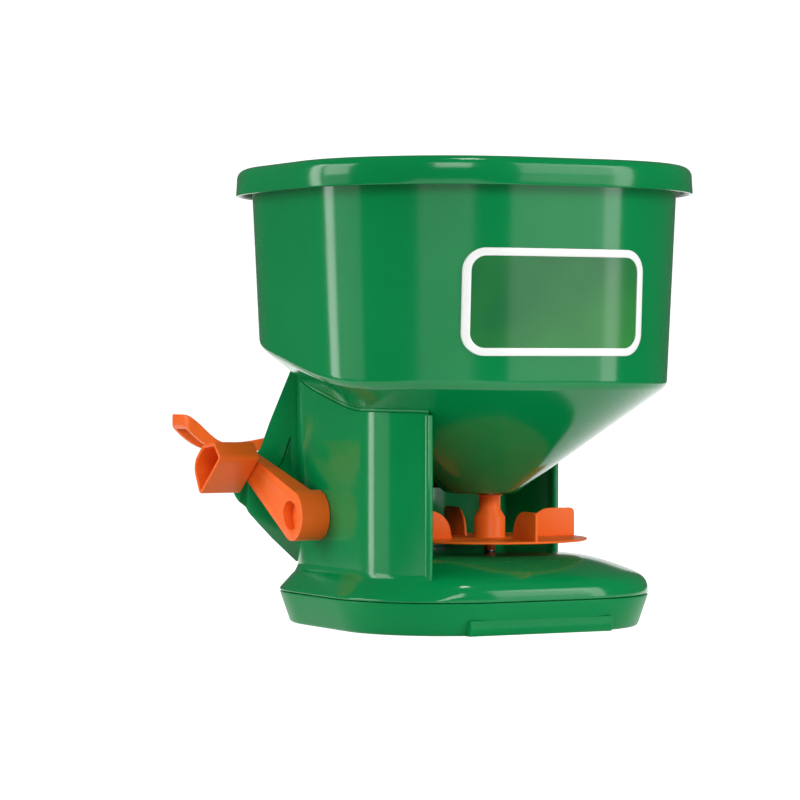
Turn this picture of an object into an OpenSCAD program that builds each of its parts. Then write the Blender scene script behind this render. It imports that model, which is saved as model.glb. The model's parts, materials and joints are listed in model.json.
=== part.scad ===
// Hand crank spreader: a hopper over a spinner disc, driven by a side crank.
// The origin is on the resting plane under the spinner axis.
// +X is the throw direction and +Z is up. All sizes are millimetres and degrees.
// The plan shapes are rounded squares that stand on a corner, with one corner to the front.

/* [Body plan] */
// Distance of the hopper, column and base centre behind the spinner axis
body_back = 15.4; // [14:0.2:17]

/* [Hopper] */
// Height of the rim's top above the resting plane
rim_z = 249; // [240:1:260]
// Half side of the square between the hopper's corner centres
hopper_core = 26; // [24:0.5:28]
// Corner radius at the funnel edge
hopper_edge_r = 76; // [74:0.5:80]
// Draft angle of the side walls
hopper_draft = 2.75; // [1.5:0.25:3.5]
// Thickness of the walls and the funnel
hopper_wall = 2.5; // [2:0.1:3]
// Height of the funnel edge at the front and the sides
edge_z = 130; // [127:1:136]
// Extra height of the funnel edge at the back corner
edge_rise = 24.5; // [20:0.5:28]
// Height of the outlet's flat underside
outlet_z = 71.5; // [71:0.5:74]
// Radius of the outlet's flat underside
outlet_r = 19.5; // [19:0.5:22]
// Distance of the outlet's centre behind the spinner axis
outlet_back = 5; // [4.5:0.25:5.5]
// Thickness of the outlet floor
floor_t = 2.5; // [2.4:0.1:3]
// How far the rolled rim stands out from the wall
rim_out = 9; // [7:0.5:11]
// Height of the rolled rim
rim_h = 15; // [12:0.5:18]
// Thickness of the rolled rim
rim_wall = 2.2; // [1.8:0.1:2.6]
// Radius of the rim's outer shoulder
rim_round = 5.5; // [4:0.5:6.5]
// Height of the short collar under the funnel that meets the column
collar_h = 2.4; // [2:0.1:3.5]

/* [Label plate] */
// Width of the blank label plate along the wall
label_w = 108; // [90:1:118]
// Height of the label plate
label_h = 56; // [48:1:62]
// Corner radius of the label plate
label_r = 12; // [6:1:16]
// Thickness of the label plate
label_t = 1.2; // [0.8:0.1:1.6]
// Height of the label plate's centre
label_z = 174; // [168:1:182]

/* [Column] */
// Half side of the square between the column's corner centres
column_core = 32.8; // [32:0.2:34]
// Corner radius of the column
column_r = 47; // [46:0.5:49]
// Wall thickness of the column
column_wall = 3; // [2.6:0.1:3.4]
// Radius of the bead along the column's two free edges
column_bead = 2.2; // [1.8:0.1:2.6]
// Distance of the right free edge behind the spinner axis
near_edge = 6.6; // [4:0.2:9]
// Distance of the left free edge in front of the spinner axis
far_edge = 15; // [10:0.5:18]
// Inner radius of the chamber wall around the spinner
chamber_r = 60; // [58:0.5:61]
// Thickness of the chamber wall
chamber_t = 1.6; // [1.4:0.1:2]
// Distance of the chamber wall's side wings behind the spinner axis
wing_back = 16; // [15:0.5:18]

/* [Base] */
// Half side of the square between the base's corner centres
base_core = 27.5; // [26:0.5:28]
// Corner radius at the seam
seam_r = 64; // [63:0.5:66]
// Corner radius at the resting plane
foot_r = 58.6; // [57:0.2:60]
// Height of the seam between cover and bottom plate
seam_z = 17.5; // [17:0.25:19]
// Height of the top of the domed cover
dome_z = 39.5; // [39:0.1:40]
// Wall thickness of cover and bottom plate
base_wall = 2.5; // [2.2:0.1:2.8]
// Width of each flat foot panel
panel_w = 86; // [70:1:90]
// Height of each foot panel
panel_h = 8; // [7:0.5:10]
// Height of the upright part of each foot panel
panel_flat = 4; // [3:0.5:5]

/* [Spinner] */
// Radius of the spinner disc
disc_r = 53.4; // [50:0.2:55]
// Height of the top of the disc
disc_z = 47; // [46:0.2:47.6]
// Thickness of the disc
disc_t = 1.2; // [1.1:0.1:1.8]
// Number of vanes
vane_count = 4; // [3:1:6]
// Height of the vanes above the disc
vane_h = 15.4; // [13:0.2:16]
// Radius at which the vanes begin
vane_in = 24.8; // [22:0.2:27]
// Share of a vane's height that its inner corner is rounded by
vane_curve = 0.86; // [0.5:0.02:0.9]
// Distance of each vane from the line through the axis
vane_offset = 3.2; // [0:0.2:4]
// Direction of the first vane
vane_turn = 41; // [0:1:89]
// Thickness of a vane
vane_t = 1.4; // [1.2:0.1:2]
// Radius of the lower hub
hub_r = 8.5; // [8:0.25:10]
// Height of the lower hub above the disc
hub_h = 11.4; // [9:0.2:12]
// Radius of the upper hub
neck_r = 5.9; // [5.5:0.1:7]
// Height of the cone between the two hubs
hub_cone = 4.5; // [3:0.1:6]
// Radius of the stub under the disc
stub_r = 3.1; // [3.1:0.1:3.8]
// Diameter of the spinner shaft
spinner_d = 4; // [3.5:0.1:4.4]

/* [Crank] */
// Height of the crank axis
crank_z = 60; // [60:0.5:63]
// Sideways distance of the crank axis from the spinner axis
crank_side = 26.8; // [25:0.2:28]
// Radius of the crank hub
crank_hub_r = 13.75; // [13:0.25:15]
// Length of the crank hub
crank_hub_l = 16.3; // [15:0.1:18]
// Radius of the recess in the hub's face
recess_r = 8; // [7:0.25:9]
// Depth of the recess
recess_l = 8; // [6:0.5:9]
// Distance from the crank axis to the knob's axis
crank_r = 55; // [50:0.5:60]
// Angle of the arm above the horizontal, towards the back
crank_angle = 28; // [10:1:40]
// Thickness of the arm at the knob
arm_t = 5; // [4.5:0.1:6]
// Radius of the arm's end
arm_end_r = 7; // [6.5:0.25:8]
// How far the arm's end stands out past the hub's face
arm_step = 4.6; // [4:0.1:5.5]
// Diameter of the crank shaft
crank_d = 8; // [7:0.1:8.5]
// Length of the knob
knob_l = 24; // [20:0.5:28]
// Wall thickness of the knob
knob_wall = 2; // [1.6:0.1:2.4]
// Diameter of the knob's rivet
rivet_d = 6; // [5:0.1:6.5]

/* [Drive] */
// Module of the crown gear and its pinion
crown_mod = 1.5; // [1.4:0.05:1.55]
// Teeth of the crown gear
crown_teeth = 26; // [26]
// Teeth of the lay pinion
lay_pinion_teeth = 8; // [8]
// Module of the spur gears in the base
spur_mod = 2; // [1.95:0.01:2.05]
// Teeth of the lay gear
lay_teeth = 20; // [20]
// Teeth of the idler gear
idler_teeth = 20; // [20]
// Teeth of the spinner pinion
spinner_teeth = 12; // [12]
// Face width of the spur gears
spur_w = 6; // [5:0.5:7]
// Diameter of the lay shaft and the idler axle
lay_d = 5; // [4.5:0.1:5.4]

/* [Grip and trigger] */
// How far the grip's nose stands behind the column
grip_reach = 38.4; // [36:0.2:40]
// Height of the grip's nose
grip_nose_z = 74; // [72:0.5:76]
// Thickness of the whole grip
grip_t = 28; // [26:0.5:32]
// Width of the raised bar around the grip's recess
grip_bar = 14; // [12:0.5:15]
// Depth of the recess in each side
grip_recess = 3; // [2:0.25:3.5]
// Distance of the trigger's pivot behind the column
pivot_back = 9.2; // [9:0.1:10]
// Diameter of the pivot pin
pivot_d = 4; // [3.5:0.1:4.4]
// Length of the trigger's lower arm
trigger_arm = 21.5; // [20.5:0.25:22.5]
// Travel of the trigger
trigger_travel = 20; // [16:1:21]
// Distance from the pivot to the paddle's tip
paddle_reach = 65.5; // [60:0.5:68]
// Height of the paddle's raised tip above its dip
paddle_rise = 15.8; // [12:0.1:17]
// Width of the paddle
paddle_w = 15; // [13:0.5:18]
// Width of the trigger's neck inside the grip
trigger_w = 9; // [8.6:0.1:9.4]
// Depth of the trigger at its neck
trigger_depth = 4.8; // [4.4:0.1:5.6]
// Thickness of the paddle's skin and skirts
paddle_skin = 2.2; // [1.8:0.1:2.6]
// Wire diameter of the trigger spring
wire_d = 0.9; // [0.7:0.05:1]
// Turns of the trigger spring
spring_turns = 3; // [2.5:0.5:3]

/* [Gate] */
// Width of the gate slide
gate_w = 20; // [18:0.5:21]
// Thickness of the gate slide
gate_t = 1.6; // [1.4:0.1:1.8]
// Length of the outlet port along the slide
port_l = 8.5; // [7:0.5:9]
// Width of the outlet port
port_w = 14; // [11:0.5:14.5]
// Width of the gate rod
rod_w = 6; // [5:0.25:7]
// Height of the gate rod
rod_h = 3; // [2.5:0.25:3.5]

/* [Fasteners and fits] */
// Diameter of the plastic-thread screws
screw_d = 3; // [2.5:0.1:3.2]
// Diameter of the screw heads
head_d = 6; // [5.4:0.1:6.6]
// Height of the screw heads
head_h = 2.2; // [1.8:0.1:2.4]
// Radial clearance of shafts and pins
fit = 0.05; // [0.03:0.01:0.08]
// Gap between parts that slide or turn past each other
run_gap = 0.3; // [0.2:0.05:0.4]
// Gap of the seam between collar and column
seam_gap = 0.15; // [0.1:0.05:0.3]

/* [Hidden] */
$fn = 64;
hull_fn = 32;
over = 1;

green = [0.05, 0.51, 0.28];
orange = [0.95, 0.44, 0.17];
nylon = [0.1, 0.1, 0.1];
steel = [0.72, 0.72, 0.74];
white = [0.93, 0.94, 0.92];

// Hopper
hopper_corner = hopper_core * sqrt(2);
rim_low = rim_z - rim_h;
floor_top = outlet_z + floor_t;
front_run = hopper_corner + hopper_edge_r - body_back + outlet_back - outlet_r;
funnel_slope = atan((edge_z - outlet_z) / front_run);
funnel_drop = hopper_wall / cos(funnel_slope);
inner_lift = funnel_drop - hopper_wall * tan(funnel_slope);
floor_r = outlet_r - (funnel_drop - floor_t) / tan(funnel_slope);
plate_r = floor_r - 2.3;
flange_r = floor_r - 0.7;
flange_t = 1;

// Column
column_corner = column_core * sqrt(2);
column_face = column_core + column_r + body_back / sqrt(2);
column_back = body_back + column_corner + column_r;

// Base
plate_floor = 2.5;
base_corner = base_core * sqrt(2);
boss_r = 5.5;
boss_z = plate_floor + 4;
screw_inset = 16;
screw_reach = base_corner + foot_r - base_wall - screw_inset;
post_z = seam_z - 3.5;
head_sink = 3;
dome_round = 0.85;
lip_h = 2;
lip_root = 6;
lip_t = 1.6;
lip_r = seam_r - base_wall - 1.2;

// Drive. The crank looks out of the back right face, and its parts lie along that direction.
face_turn = -45;
lay_span = spur_mod * (lay_teeth / 2 + idler_teeth + spinner_teeth / 2);
lay_s = sqrt(lay_span * lay_span - crank_side * crank_side);
crown_r = crown_mod * crown_teeth / 2;
lay_pinion_r = crown_mod * lay_pinion_teeth / 2;
crown_s = lay_s + lay_pinion_r;
crown_w = 4;
crown_disc_t = 3.5;
crown_hub_l = 7.5;
crown_hub_r = 8;
addendum = 0.8;
crown_addendum = 0.55;
dedendum = 1.1;
tooth_fill = 0.76;
crown_fill = 0.54;
pressure = 20;
crown_back = crown_s + dedendum * crown_mod + crown_disc_t;
lay_x = -(lay_s + crank_side) / sqrt(2);
lay_y = -(lay_s - crank_side) / sqrt(2);
train_turn = atan2(-lay_y, -lay_x);
idler_share = spur_mod * (idler_teeth + spinner_teeth) / 2 / lay_span;
idler_x = lay_x * idler_share;
idler_y = lay_y * idler_share;
spur_z = boss_z + run_gap + 0.2;
bush_wall = 1.5;
bush_drop = 11;
spinner_seat_d = spinner_d + 2 * bush_wall + 2 * fit;
lay_seat_d = lay_d + 2 * bush_wall + 2 * fit;
lay_bush_z = dome_z - bush_drop - 2;
axle_top = dome_z - base_wall - 6;
base_screw_top = dome_z - 10;
lay_pinion_z = crank_z - crown_r - crown_w / 2;
crank_bush_s = crown_back + 0.8;
hub_s = column_face + 0.4;
hub_end_s = hub_s + crank_hub_l;
recess_s = hub_end_s - recess_l;
arm_end_s = hub_end_s + arm_step;
pin_x = -crank_side - crank_r * cos(crank_angle);
pin_y = crank_r * sin(crank_angle);
knob_s = arm_end_s + run_gap;
knob_floor = 3;
tube_end_s = knob_s + knob_l - 6;
rivet_head = 1.6;
knob_tube_r = rivet_d / 2 + 1.8;
crank_screw_d = 4;
crank_screw_l = 12;
crank_screw_head = 3.2;
arm_lift = 5;
arm_taper = 4;

// Trigger and gate
gate_float = 0.15;
gate_z = floor_top + gate_float;
rod_z = gate_z + gate_t;
pin_z = rod_z + rod_h / 2;
half_travel = trigger_travel / 2;
pivot_x = -(column_back + pivot_back);
pivot_z = pin_z + trigger_arm * cos(half_travel);
link_x = pivot_x - trigger_arm * sin(half_travel);
link_d = 3;
gate_travel = trigger_arm * trigger_travel * PI / 180;
gate_front = spinner_d / 2 + run_gap + gate_travel;
port_front = gate_front + 0.7;
port_back = port_front + port_l;
window_front = port_back + 1;
window_back = window_front + port_l + 0.5;
peg_gap = 17.5;
peg_back = window_back + peg_gap;
peg_d = 4;
gate_back = peg_back + 5;
arm_room = 1.2;
rod_end_t = 4;
rod_end_l = 8;
rod_end_h = 10;
fork_gap = rod_end_t + 0.6;
cavity_w = trigger_w + 1;
paddle_start = 31;
paddle_lean = 1;
tip_r = 3;
room_reach = 16;
pivot_hub_r = 6;
paddle_root = 13;
paddle_dip = 34;
paddle_dip_h = -0.4;
paddle_bend = paddle_dip + 6.5;
paddle_peak = paddle_reach + 1;
root_rise = 2.6;
skirt_from = paddle_dip + 6;
skirt_rise = 14.3;
room_gap = 1.5;
arm_half = 3.5;

// Grip outline: distance behind the column and height
grip_top = [2.2, 138];
grip_shoulder = [14, 110.5];
grip_neck = [20, 94.6];
grip_heel = [21.4, 53.6];
grip_ankle = [12.4, 44.7];
grip_foot = [-1.2, 32.7];
grip_nose_r = 6;
nose_from = 155;
nose_to = 225;
grip_root = 12;
grip_screw_spots = [[5.8, 116], [grip_reach - 8, grip_nose_z], [9, 49]];
mount_spots_z = [52, 122];
mount_y = 8;
mount_screw_l = 10;
mount_boss = 1.6;
mount_seat = column_back - column_wall - mount_boss;

// Room around screws and pins
hole_gap = 0.4;
head_gap = 0.6;
head_cover = 1;
pin_cap = 3;

// Hopper screws: one at each side and one at the back of the column
pad_r = head_d / 2 + 2.2;
post_r = screw_d / 2 + 3;
side_post_x = 30;
side_post_y = column_corner - post_r * 0.8
    + sqrt(pow(column_r - column_wall, 2) - pow(side_post_x - body_back, 2));
back_post_x = column_back - column_wall - post_r * 0.8;
side_run = norm([body_back - outlet_back, hopper_corner + hopper_edge_r]);
back_run = body_back - outlet_back + hopper_corner + hopper_r(edge_z + edge_rise);
side_pad_z = pad_top(norm([side_post_x - outlet_back, side_post_y]), side_run, edge_z);
back_pad_z = pad_top(back_post_x - outlet_back, back_run, edge_z + edge_rise);
hopper_screw_spots = [
    [-side_post_x, -side_post_y, side_pad_z],
    [-side_post_x, side_post_y, side_pad_z],
    [-back_post_x, 0, back_pad_z]];
hopper_screw_l = 20;
post_l = 26;

// Corner radius of the hopper's outside at a height
function hopper_r(z) = hopper_edge_r + (z - edge_z) * tan(hopper_draft);

// Corner radius of the bottom plate's outside at a height
function plate_r_at(z) = foot_r + (seam_r - foot_r) * z / seam_z;

// Height of a screw pad that stands clear of the funnel at a distance from the outlet's centre
function pad_top(d, run, top) =
    outlet_z + (top - outlet_z) * (d + pad_r - outlet_r) / (run - outlet_r) + funnel_drop + 1;

// Points of an arc
function arc(c, r, from, to, n) =
    [for (i = [0:n]) c + r * [cos(from + (to - from) * i / n), sin(from + (to - from) * i / n)]];

function polar(r, a) = [r * cos(a), r * sin(a)];

// Outline of a spur gear with straight-sided slim teeth, a tooth centred on the X axis
function gear_points(teeth, mod) =
    let (
        pitch = mod * teeth / 2,
        tip = pitch + addendum * mod,
        root = pitch - dedendum * mod,
        half = PI * mod / 4 * tooth_fill,
        half_tip = (half - addendum * mod * tan(pressure)) / tip * 180 / PI,
        half_root = min((half + dedendum * mod * tan(pressure)) / root * 180 / PI, 160 / teeth)
    )
    [for (i = [0:teeth - 1], p = [[root, -half_root], [tip, -half_tip], [tip, half_tip], [root, half_root]])
        polar(p[0], i * 360 / teeth + p[1])];

// Smooth step from 0 to 1
function ease(u) = let (v = min(1, max(0, u))) v * v * (3 - 2 * v);

// Top and bottom of the trigger over the pivot, at a distance behind it
function trigger_top(d) =
    d < paddle_dip
        ? paddle_dip_h + root_rise * pow((paddle_dip - max(d, paddle_root)) / (paddle_dip - paddle_root), 2)
        : paddle_dip_h + paddle_rise * ease((d - paddle_bend) / (paddle_peak - paddle_bend));
function trigger_low(d) =
    d < skirt_from
        ? trigger_top(d) - trigger_depth
        : trigger_top(skirt_from) - trigger_depth
            + skirt_rise * pow((d - skirt_from) / (paddle_reach - skirt_from), 2);

// Trigger outline between two distances behind the pivot, with the top lowered by skin
function trigger_outline(from, to, skin, drop) =
    let (n = 14)
    concat(
        [for (i = [0:n]) let (d = from + (to - from) * i / n) [-d, trigger_top(d) - skin]],
        [for (i = [n:-1:0]) let (d = from + (to - from) * i / n) [-d, trigger_low(d) - drop]]);

// Trigger spring: a coil round the pivot pin with two straight legs
coil_r = pivot_d / 2 + wire_d / 2 + 1.2;
coil_pitch = wire_d + 0.65;
coil_y = trigger_w / 2 + 1 + wire_d / 2;
leg_l = 3.5;
coil_steps = 12 * spring_turns;
function coil_point(i) =
    let (a = 90 + 360 * i / 12)
    [pivot_x + coil_r * cos(a), coil_y + coil_pitch * i / 12, pivot_z + coil_r * sin(a)];
function coil_tangent(i) =
    let (a = 90 + 360 * i / 12)
    [-sin(a), 0, cos(a)];
spring_path = concat(
    [coil_point(0) - leg_l * coil_tangent(0)],
    [for (i = [0:coil_steps]) coil_point(i)],
    [coil_point(coil_steps) + leg_l * coil_tangent(coil_steps)]);
spring_gap = min([for (i = [0:coil_steps], j = [i + 6:coil_steps + 1]) if (j <= coil_steps)
    norm(coil_point(i) - coil_point(j))]) - wire_d;
echo("least gap of the trigger spring to itself", spring_gap);

// Tube of one unbroken skin along a path that lies in planes of constant Y
module tube(path, d, sides) {
    n = len(path);
    rings = [for (i = [0:n - 1])
        let (
            ahead = path[min(i + 1, n - 1)] - path[max(i - 1, 0)],
            t = ahead / norm(ahead),
            u = cross([0, 1, 0], t) / norm(cross([0, 1, 0], t)),
            v = cross(t, u)
        )
        for (k = [0:sides - 1]) path[i] + d / 2 * (cos(360 * k / sides) * u + sin(360 * k / sides) * v)];
    skin = [for (i = [0:n - 2], k = [0:sides - 1])
        let (a = i * sides + k, b = i * sides + (k + 1) % sides)
        for (f = [[a, b, b + sides], [a, b + sides, a + sides]]) f];
    caps = [for (k = [1:sides - 2])
        for (f = [[0, k + 1, k], [(n - 1) * sides, (n - 1) * sides + k, (n - 1) * sides + k + 1]]) f];
    polyhedron(points = rings, faces = [for (f = concat(skin, caps)) [f[0], f[2], f[1]]]);
}

module at_body() {
    translate([-body_back, 0, 0]) children();
}

// Crank frame: X runs along the face to the front, Y is up and Z is out of the face
module at_crank() {
    translate([0, 0, crank_z]) rotate([90, 0, face_turn]) children();
}

// Rounded square that stands on a corner
module diamond(core, r) {
    rotate(45) square([2 * core, 2 * (core + r)], center = true);
    rotate(45) square([2 * (core + r), 2 * core], center = true);
    for (a = [0:90:270]) rotate(a) translate([core * sqrt(2), 0]) circle(r);
}

// Solid of the same plan with a corner profile of radius over height
module diamond_form(core, profile) {
    hull() for (a = [0:90:270]) at_body() rotate(a) translate([core * sqrt(2), 0, 0])
        rotate_extrude($fn = hull_fn) polygon(profile);
}

module tube_z(d_out, d_in, h) {
    difference() {
        cylinder(d = d_out, h = h);
        translate([0, 0, -over]) cylinder(d = d_in, h = h + 2 * over);
    }
}

// Screw that points up, with the underside of its head at the origin
module screw_up(d, l, head, head_l) {
    cylinder(d = d, h = l);
    translate([0, 0, -head_l]) difference() {
        cylinder(d = head, h = head_l);
        translate([0, 0, -over]) cylinder(d = head * 0.5, h = head_l * 0.5 + over, $fn = 6);
    }
}

// Hopper outside, or its inside when set in by the wall
module hopper_form(inset, lift, foot_radius, foot_z, top) {
    hull() {
        for (a = [0:90:270]) {
            low = edge_z + lift + (a == 180 ? edge_rise : 0);
            low_r = hopper_r(low) - inset;
            top_r = hopper_r(top) - inset;
            at_body() rotate(a) translate([hopper_corner, 0, low])
                cylinder(h = top - low, r1 = low_r, r2 = top_r, $fn = hull_fn);
        }
        translate([-outlet_back, 0, foot_z]) cylinder(h = 0.5, r = foot_radius, $fn = hull_fn);
    }
}

module hopper_outside() {
    hopper_form(0, 0, outlet_r, outlet_z, rim_z - rim_wall / 2);
}

module hopper_inside() {
    hopper_form(hopper_wall, inner_lift, floor_r, floor_top, rim_z + over);
}

// The space that column, chamber wall and grip leave free for the funnel and its collar
module funnel_room() {
    translate([0, 0, -collar_h - seam_gap]) hopper_outside();
}

module rim_form(inset, low) {
    r = hopper_r(rim_low) + rim_out - inset;
    round_r = rim_round - inset;
    top = rim_z - inset;
    diamond_form(hopper_core, concat(
        [[0, low], [r, low]],
        arc([r - 0.5 - round_r, top - round_r], round_r, 0, 90, 4),
        [[0, top]]));
}

module column_plan() {
    difference() {
        at_body() diamond(column_core, column_r);
        at_body() diamond(column_core, column_r - column_wall);
        translate([-near_edge, -2 * column_back]) square([4 * column_back, 2 * column_back]);
        translate([far_edge, 0]) square([4 * column_back, 2 * column_back]);
    }
    mid_r = column_r - column_wall / 2;
    translate([-near_edge, -column_corner - sqrt(pow(mid_r, 2) - pow(body_back - near_edge, 2))])
        circle(column_bead);
    translate([far_edge, column_corner + sqrt(pow(mid_r, 2) - pow(body_back + far_edge, 2))])
        circle(column_bead);
}

module hopper() color(green) difference() {
    union() {
        difference() {
            union() {
                hopper_outside();
                difference() {
                    rim_form(0, rim_low);
                    rim_form(rim_wall, rim_low - over);
                }
                intersection() {
                    translate([0, 0, outlet_z]) linear_extrude(rim_low - outlet_z) column_plan();
                    translate([0, 0, -collar_h]) hopper_outside();
                }
            }
            hopper_inside();
            translate([-outlet_back, 0, outlet_z - over])
                cylinder(r = plate_r + fit, h = floor_t + 2 * over);
            translate([-outlet_back, 0, floor_top - flange_t])
                cylinder(r = flange_r + fit, h = flange_t + over);
        }
        intersection() {
            hopper_outside();
            for (p = hopper_screw_spots) translate([p[0], p[1], outlet_z])
                cylinder(r = pad_r, h = p[2] - outlet_z);
        }
    }
    for (p = hopper_screw_spots) translate([p[0], p[1], outlet_z])
        cylinder(d = screw_d + hole_gap, h = rim_z - outlet_z);
    translate([-gate_back - gate_travel, -gate_w / 2 - run_gap, floor_top])
        cube([gate_back + gate_travel - outlet_back, gate_w + 2 * run_gap, gate_t + gate_float + run_gap]);
}

module outlet_plate() color(green) difference() {
    translate([-outlet_back, 0, outlet_z]) union() {
        cylinder(r = plate_r, h = floor_t);
        translate([0, 0, floor_t - flange_t]) cylinder(r = flange_r, h = flange_t);
    }
    translate([-port_back, -port_w / 2, outlet_z - over]) cube([port_l, port_w, floor_t + 2 * over]);
    translate([0, 0, outlet_z - over]) cylinder(d = spinner_seat_d, h = floor_t + 2 * over);
}

// Profile of the domed cover: a quarter of a rounded ellipse over a corner's axis
function cover_profile(inset, low) =
    let (
        reach = seam_r - inset,
        rise = dome_z - inset - seam_z,
        points = [for (t = [0:10:80])
            [reach * pow(cos(t), dome_round), seam_z + rise * pow(sin(t), dome_round)]]
    )
    concat([[0, low], [reach, low]], points, [[0, points[len(points) - 1][1]]]);

module cover_form(inset, low) {
    diamond_form(base_core, cover_profile(inset, low));
}

module at_base_screws() {
    for (a = [0:90:270]) at_body() rotate(a) translate([screw_reach, 0, 0]) children();
}

module housing() color(green) difference() {
    union() {
        difference() {
            union() {
                cover_form(0, seam_z);
                translate([0, 0, seam_z + base_wall]) linear_extrude(rim_low - seam_z) column_plan();
            }
            cover_form(base_wall, seam_z - over);
        }
        intersection() {
            cover_form(0, seam_z - 2 * bush_drop);
            union() {
                translate([0, 0, dome_z - bush_drop]) cylinder(r = boss_r, h = bush_drop);
                translate([lay_x, lay_y, lay_bush_z]) cylinder(r = boss_r, h = bush_drop);
                translate([idler_x, idler_y, spur_z + spur_w + run_gap]) cylinder(r = boss_r, h = dome_z);
                translate([0, 0, post_z]) at_base_screws() cylinder(r = post_r, h = dome_z);
            }
        }
        at_crank() translate([-crank_side, 0, crank_bush_s])
            cylinder(r = crank_d / 2 + bush_wall + 3.5, h = column_face - column_wall / 2 - crank_bush_s);
        for (p = hopper_screw_spots) translate([p[0], p[1], p[2] - post_l]) cylinder(r = post_r, h = post_l);
        for (y = [-mount_y, mount_y], z = mount_spots_z) translate([-mount_seat, y, z]) rotate([0, -90, 0])
            cylinder(r = post_r, h = column_back - mount_seat - mount_boss);
    }
    funnel_room();
    translate([0, 0, dome_z - bush_drop - over]) cylinder(d = spinner_seat_d, h = dome_z);
    translate([lay_x, lay_y, lay_bush_z - over]) cylinder(d = lay_seat_d, h = dome_z / 2);
    translate([lay_x, lay_y, lay_pinion_z - run_gap])
        cylinder(r = lay_pinion_r + addendum * crown_mod + 2 * run_gap, h = crown_w);
    translate([idler_x, idler_y, 0]) cylinder(d = lay_d + 2 * fit, h = axle_top);
    at_base_screws() cylinder(d = screw_d + 2 * fit, h = base_screw_top + over);
    at_crank() translate([-crank_side, 0, crank_bush_s - over])
        cylinder(d = crank_d + 2 * bush_wall + 2 * fit, h = column_face - crank_bush_s + 3);
    for (p = hopper_screw_spots) translate([p[0], p[1], p[2] - hopper_screw_l - 2])
        cylinder(d = screw_d + 2 * fit, h = hopper_screw_l + 2);
    translate([-column_back - over, -rod_w / 2 - 2 * run_gap, rod_z - 2 * run_gap])
        cube([column_wall + 10, rod_w + 4 * run_gap, rod_h + 4 * run_gap]);
    for (y = [-mount_y, mount_y], z = mount_spots_z)
        translate([-mount_seat + over, y, z]) rotate([0, -90, 0])
            cylinder(d = screw_d + hole_gap, h = column_back - mount_seat + 2 * over);
}

function plate_profile(inset, low) = [
    [0, low], [foot_r - inset - 1.5, low], [foot_r - inset, low + 1.5],
    [seam_r - inset, seam_z + (inset > 0 ? over : 0)], [0, seam_z + (inset > 0 ? over : 0)]];

module bottom_plate() color(green) difference() {
    union() {
        difference() {
            diamond_form(base_core, plate_profile(0, 0));
            diamond_form(base_core, plate_profile(base_wall, plate_floor));
        }
        // Lip that centres the cover, with a root that joins the wall
        translate([0, 0, seam_z - lip_root]) linear_extrude(lip_root + lip_h) at_body() difference() {
            diamond(base_core, lip_r);
            diamond(base_core, lip_r - lip_t);
        }
        translate([0, 0, seam_z - lip_root]) linear_extrude(lip_root / 2) at_body() difference() {
            diamond(base_core, plate_r_at(seam_z - lip_root) - base_wall / 2);
            diamond(base_core, lip_r - lip_t);
        }
        // Foot panels with a sloped top on the two front faces
        for (side = [-1, 1]) at_body() rotate(side * 45) translate([base_core, panel_w / 2, 0])
            rotate([90, 0, 0]) linear_extrude(panel_w) polygon([
                [panel_root, 0], [panel_face, 0], [panel_face, panel_flat],
                [plate_r_at(panel_h) - 0.3, panel_h], [panel_root, panel_h]]);
        for (p = [[0, 0], [lay_x, lay_y], [idler_x, idler_y]]) translate([p[0], p[1], plate_floor / 2])
            cylinder(r = boss_r, h = boss_z - plate_floor / 2);
        at_base_screws() cylinder(r = head_d / 2 + 2, h = post_z - run_gap / 2);
    }
    translate([0, 0, plate_floor]) cylinder(d = spinner_seat_d, h = boss_z);
    translate([lay_x, lay_y, plate_floor]) cylinder(d = lay_seat_d, h = boss_z);
    translate([idler_x, idler_y, plate_floor]) cylinder(d = lay_d + 2 * fit, h = boss_z);
    at_base_screws() translate([0, 0, -over]) cylinder(d = head_d + head_gap, h = head_sink + over);
    at_base_screws() cylinder(d = screw_d + hole_gap, h = post_z + over);
}
panel_face = plate_r_at(panel_flat) + 1;
panel_root = foot_r - base_wall - 1;

module chamber_wall() color(green) difference() {
    translate([0, 0, seam_z]) linear_extrude(rim_low - seam_z) intersection() {
        at_body() diamond(column_core, column_r - column_wall - 0.1);
        union() {
            difference() {
                circle(chamber_r + chamber_t);
                circle(chamber_r);
                translate([-wing_back, -2 * chamber_r]) square(4 * chamber_r);
            }
            for (side = [-1, 1]) translate([-wing_back - chamber_t, side > 0 ? wing_inner : -column_back])
                square([chamber_t, column_back - wing_inner]);
        }
    }
    cover_form(0, seam_z - over);
    funnel_room();
    translate([-chamber_r - 2 * chamber_t, -rod_w / 2 - 2 * run_gap, rod_z - gate_t - 2 * run_gap])
        cube([4 * chamber_t, rod_w + 4 * run_gap, rod_h + gate_t + 4 * run_gap]);
}
wing_inner = sqrt(pow(chamber_r, 2) - pow(wing_back, 2));

module label_plate() color(white) intersection() {
    difference() {
        hopper_form(-label_t, 0, outlet_r, outlet_z, rim_low - over);
        hopper_outside();
    }
    at_body() translate([0, 0, label_z]) rotate([90, 0, 45]) linear_extrude(2 * hopper_edge_r) {
        square([label_w - 2 * label_r, label_h], center = true);
        square([label_w, label_h - 2 * label_r], center = true);
        for (x = [-1, 1], y = [-1, 1])
            translate([x * (label_w / 2 - label_r), y * (label_h / 2 - label_r)]) circle(label_r);
    }
}

// Grip
function behind(p) = [-(column_back + p[0]), p[1]];

module grip_outline() {
    polygon(concat(
        [[-column_back + grip_root, grip_top[1]]],
        [behind(grip_top), behind(grip_shoulder), behind(grip_neck)],
        arc([-(column_back + grip_reach - grip_nose_r), grip_nose_z], grip_nose_r, nose_from, nose_to, 4),
        [behind(grip_heel), behind(grip_ankle), behind(grip_foot)],
        [[-column_back + grip_root, grip_foot[1]]]));
}

// Point turned about the origin
function turned(p, a) = [p[0] * cos(a) - p[1] * sin(a), p[0] * sin(a) + p[1] * cos(a)];

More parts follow.
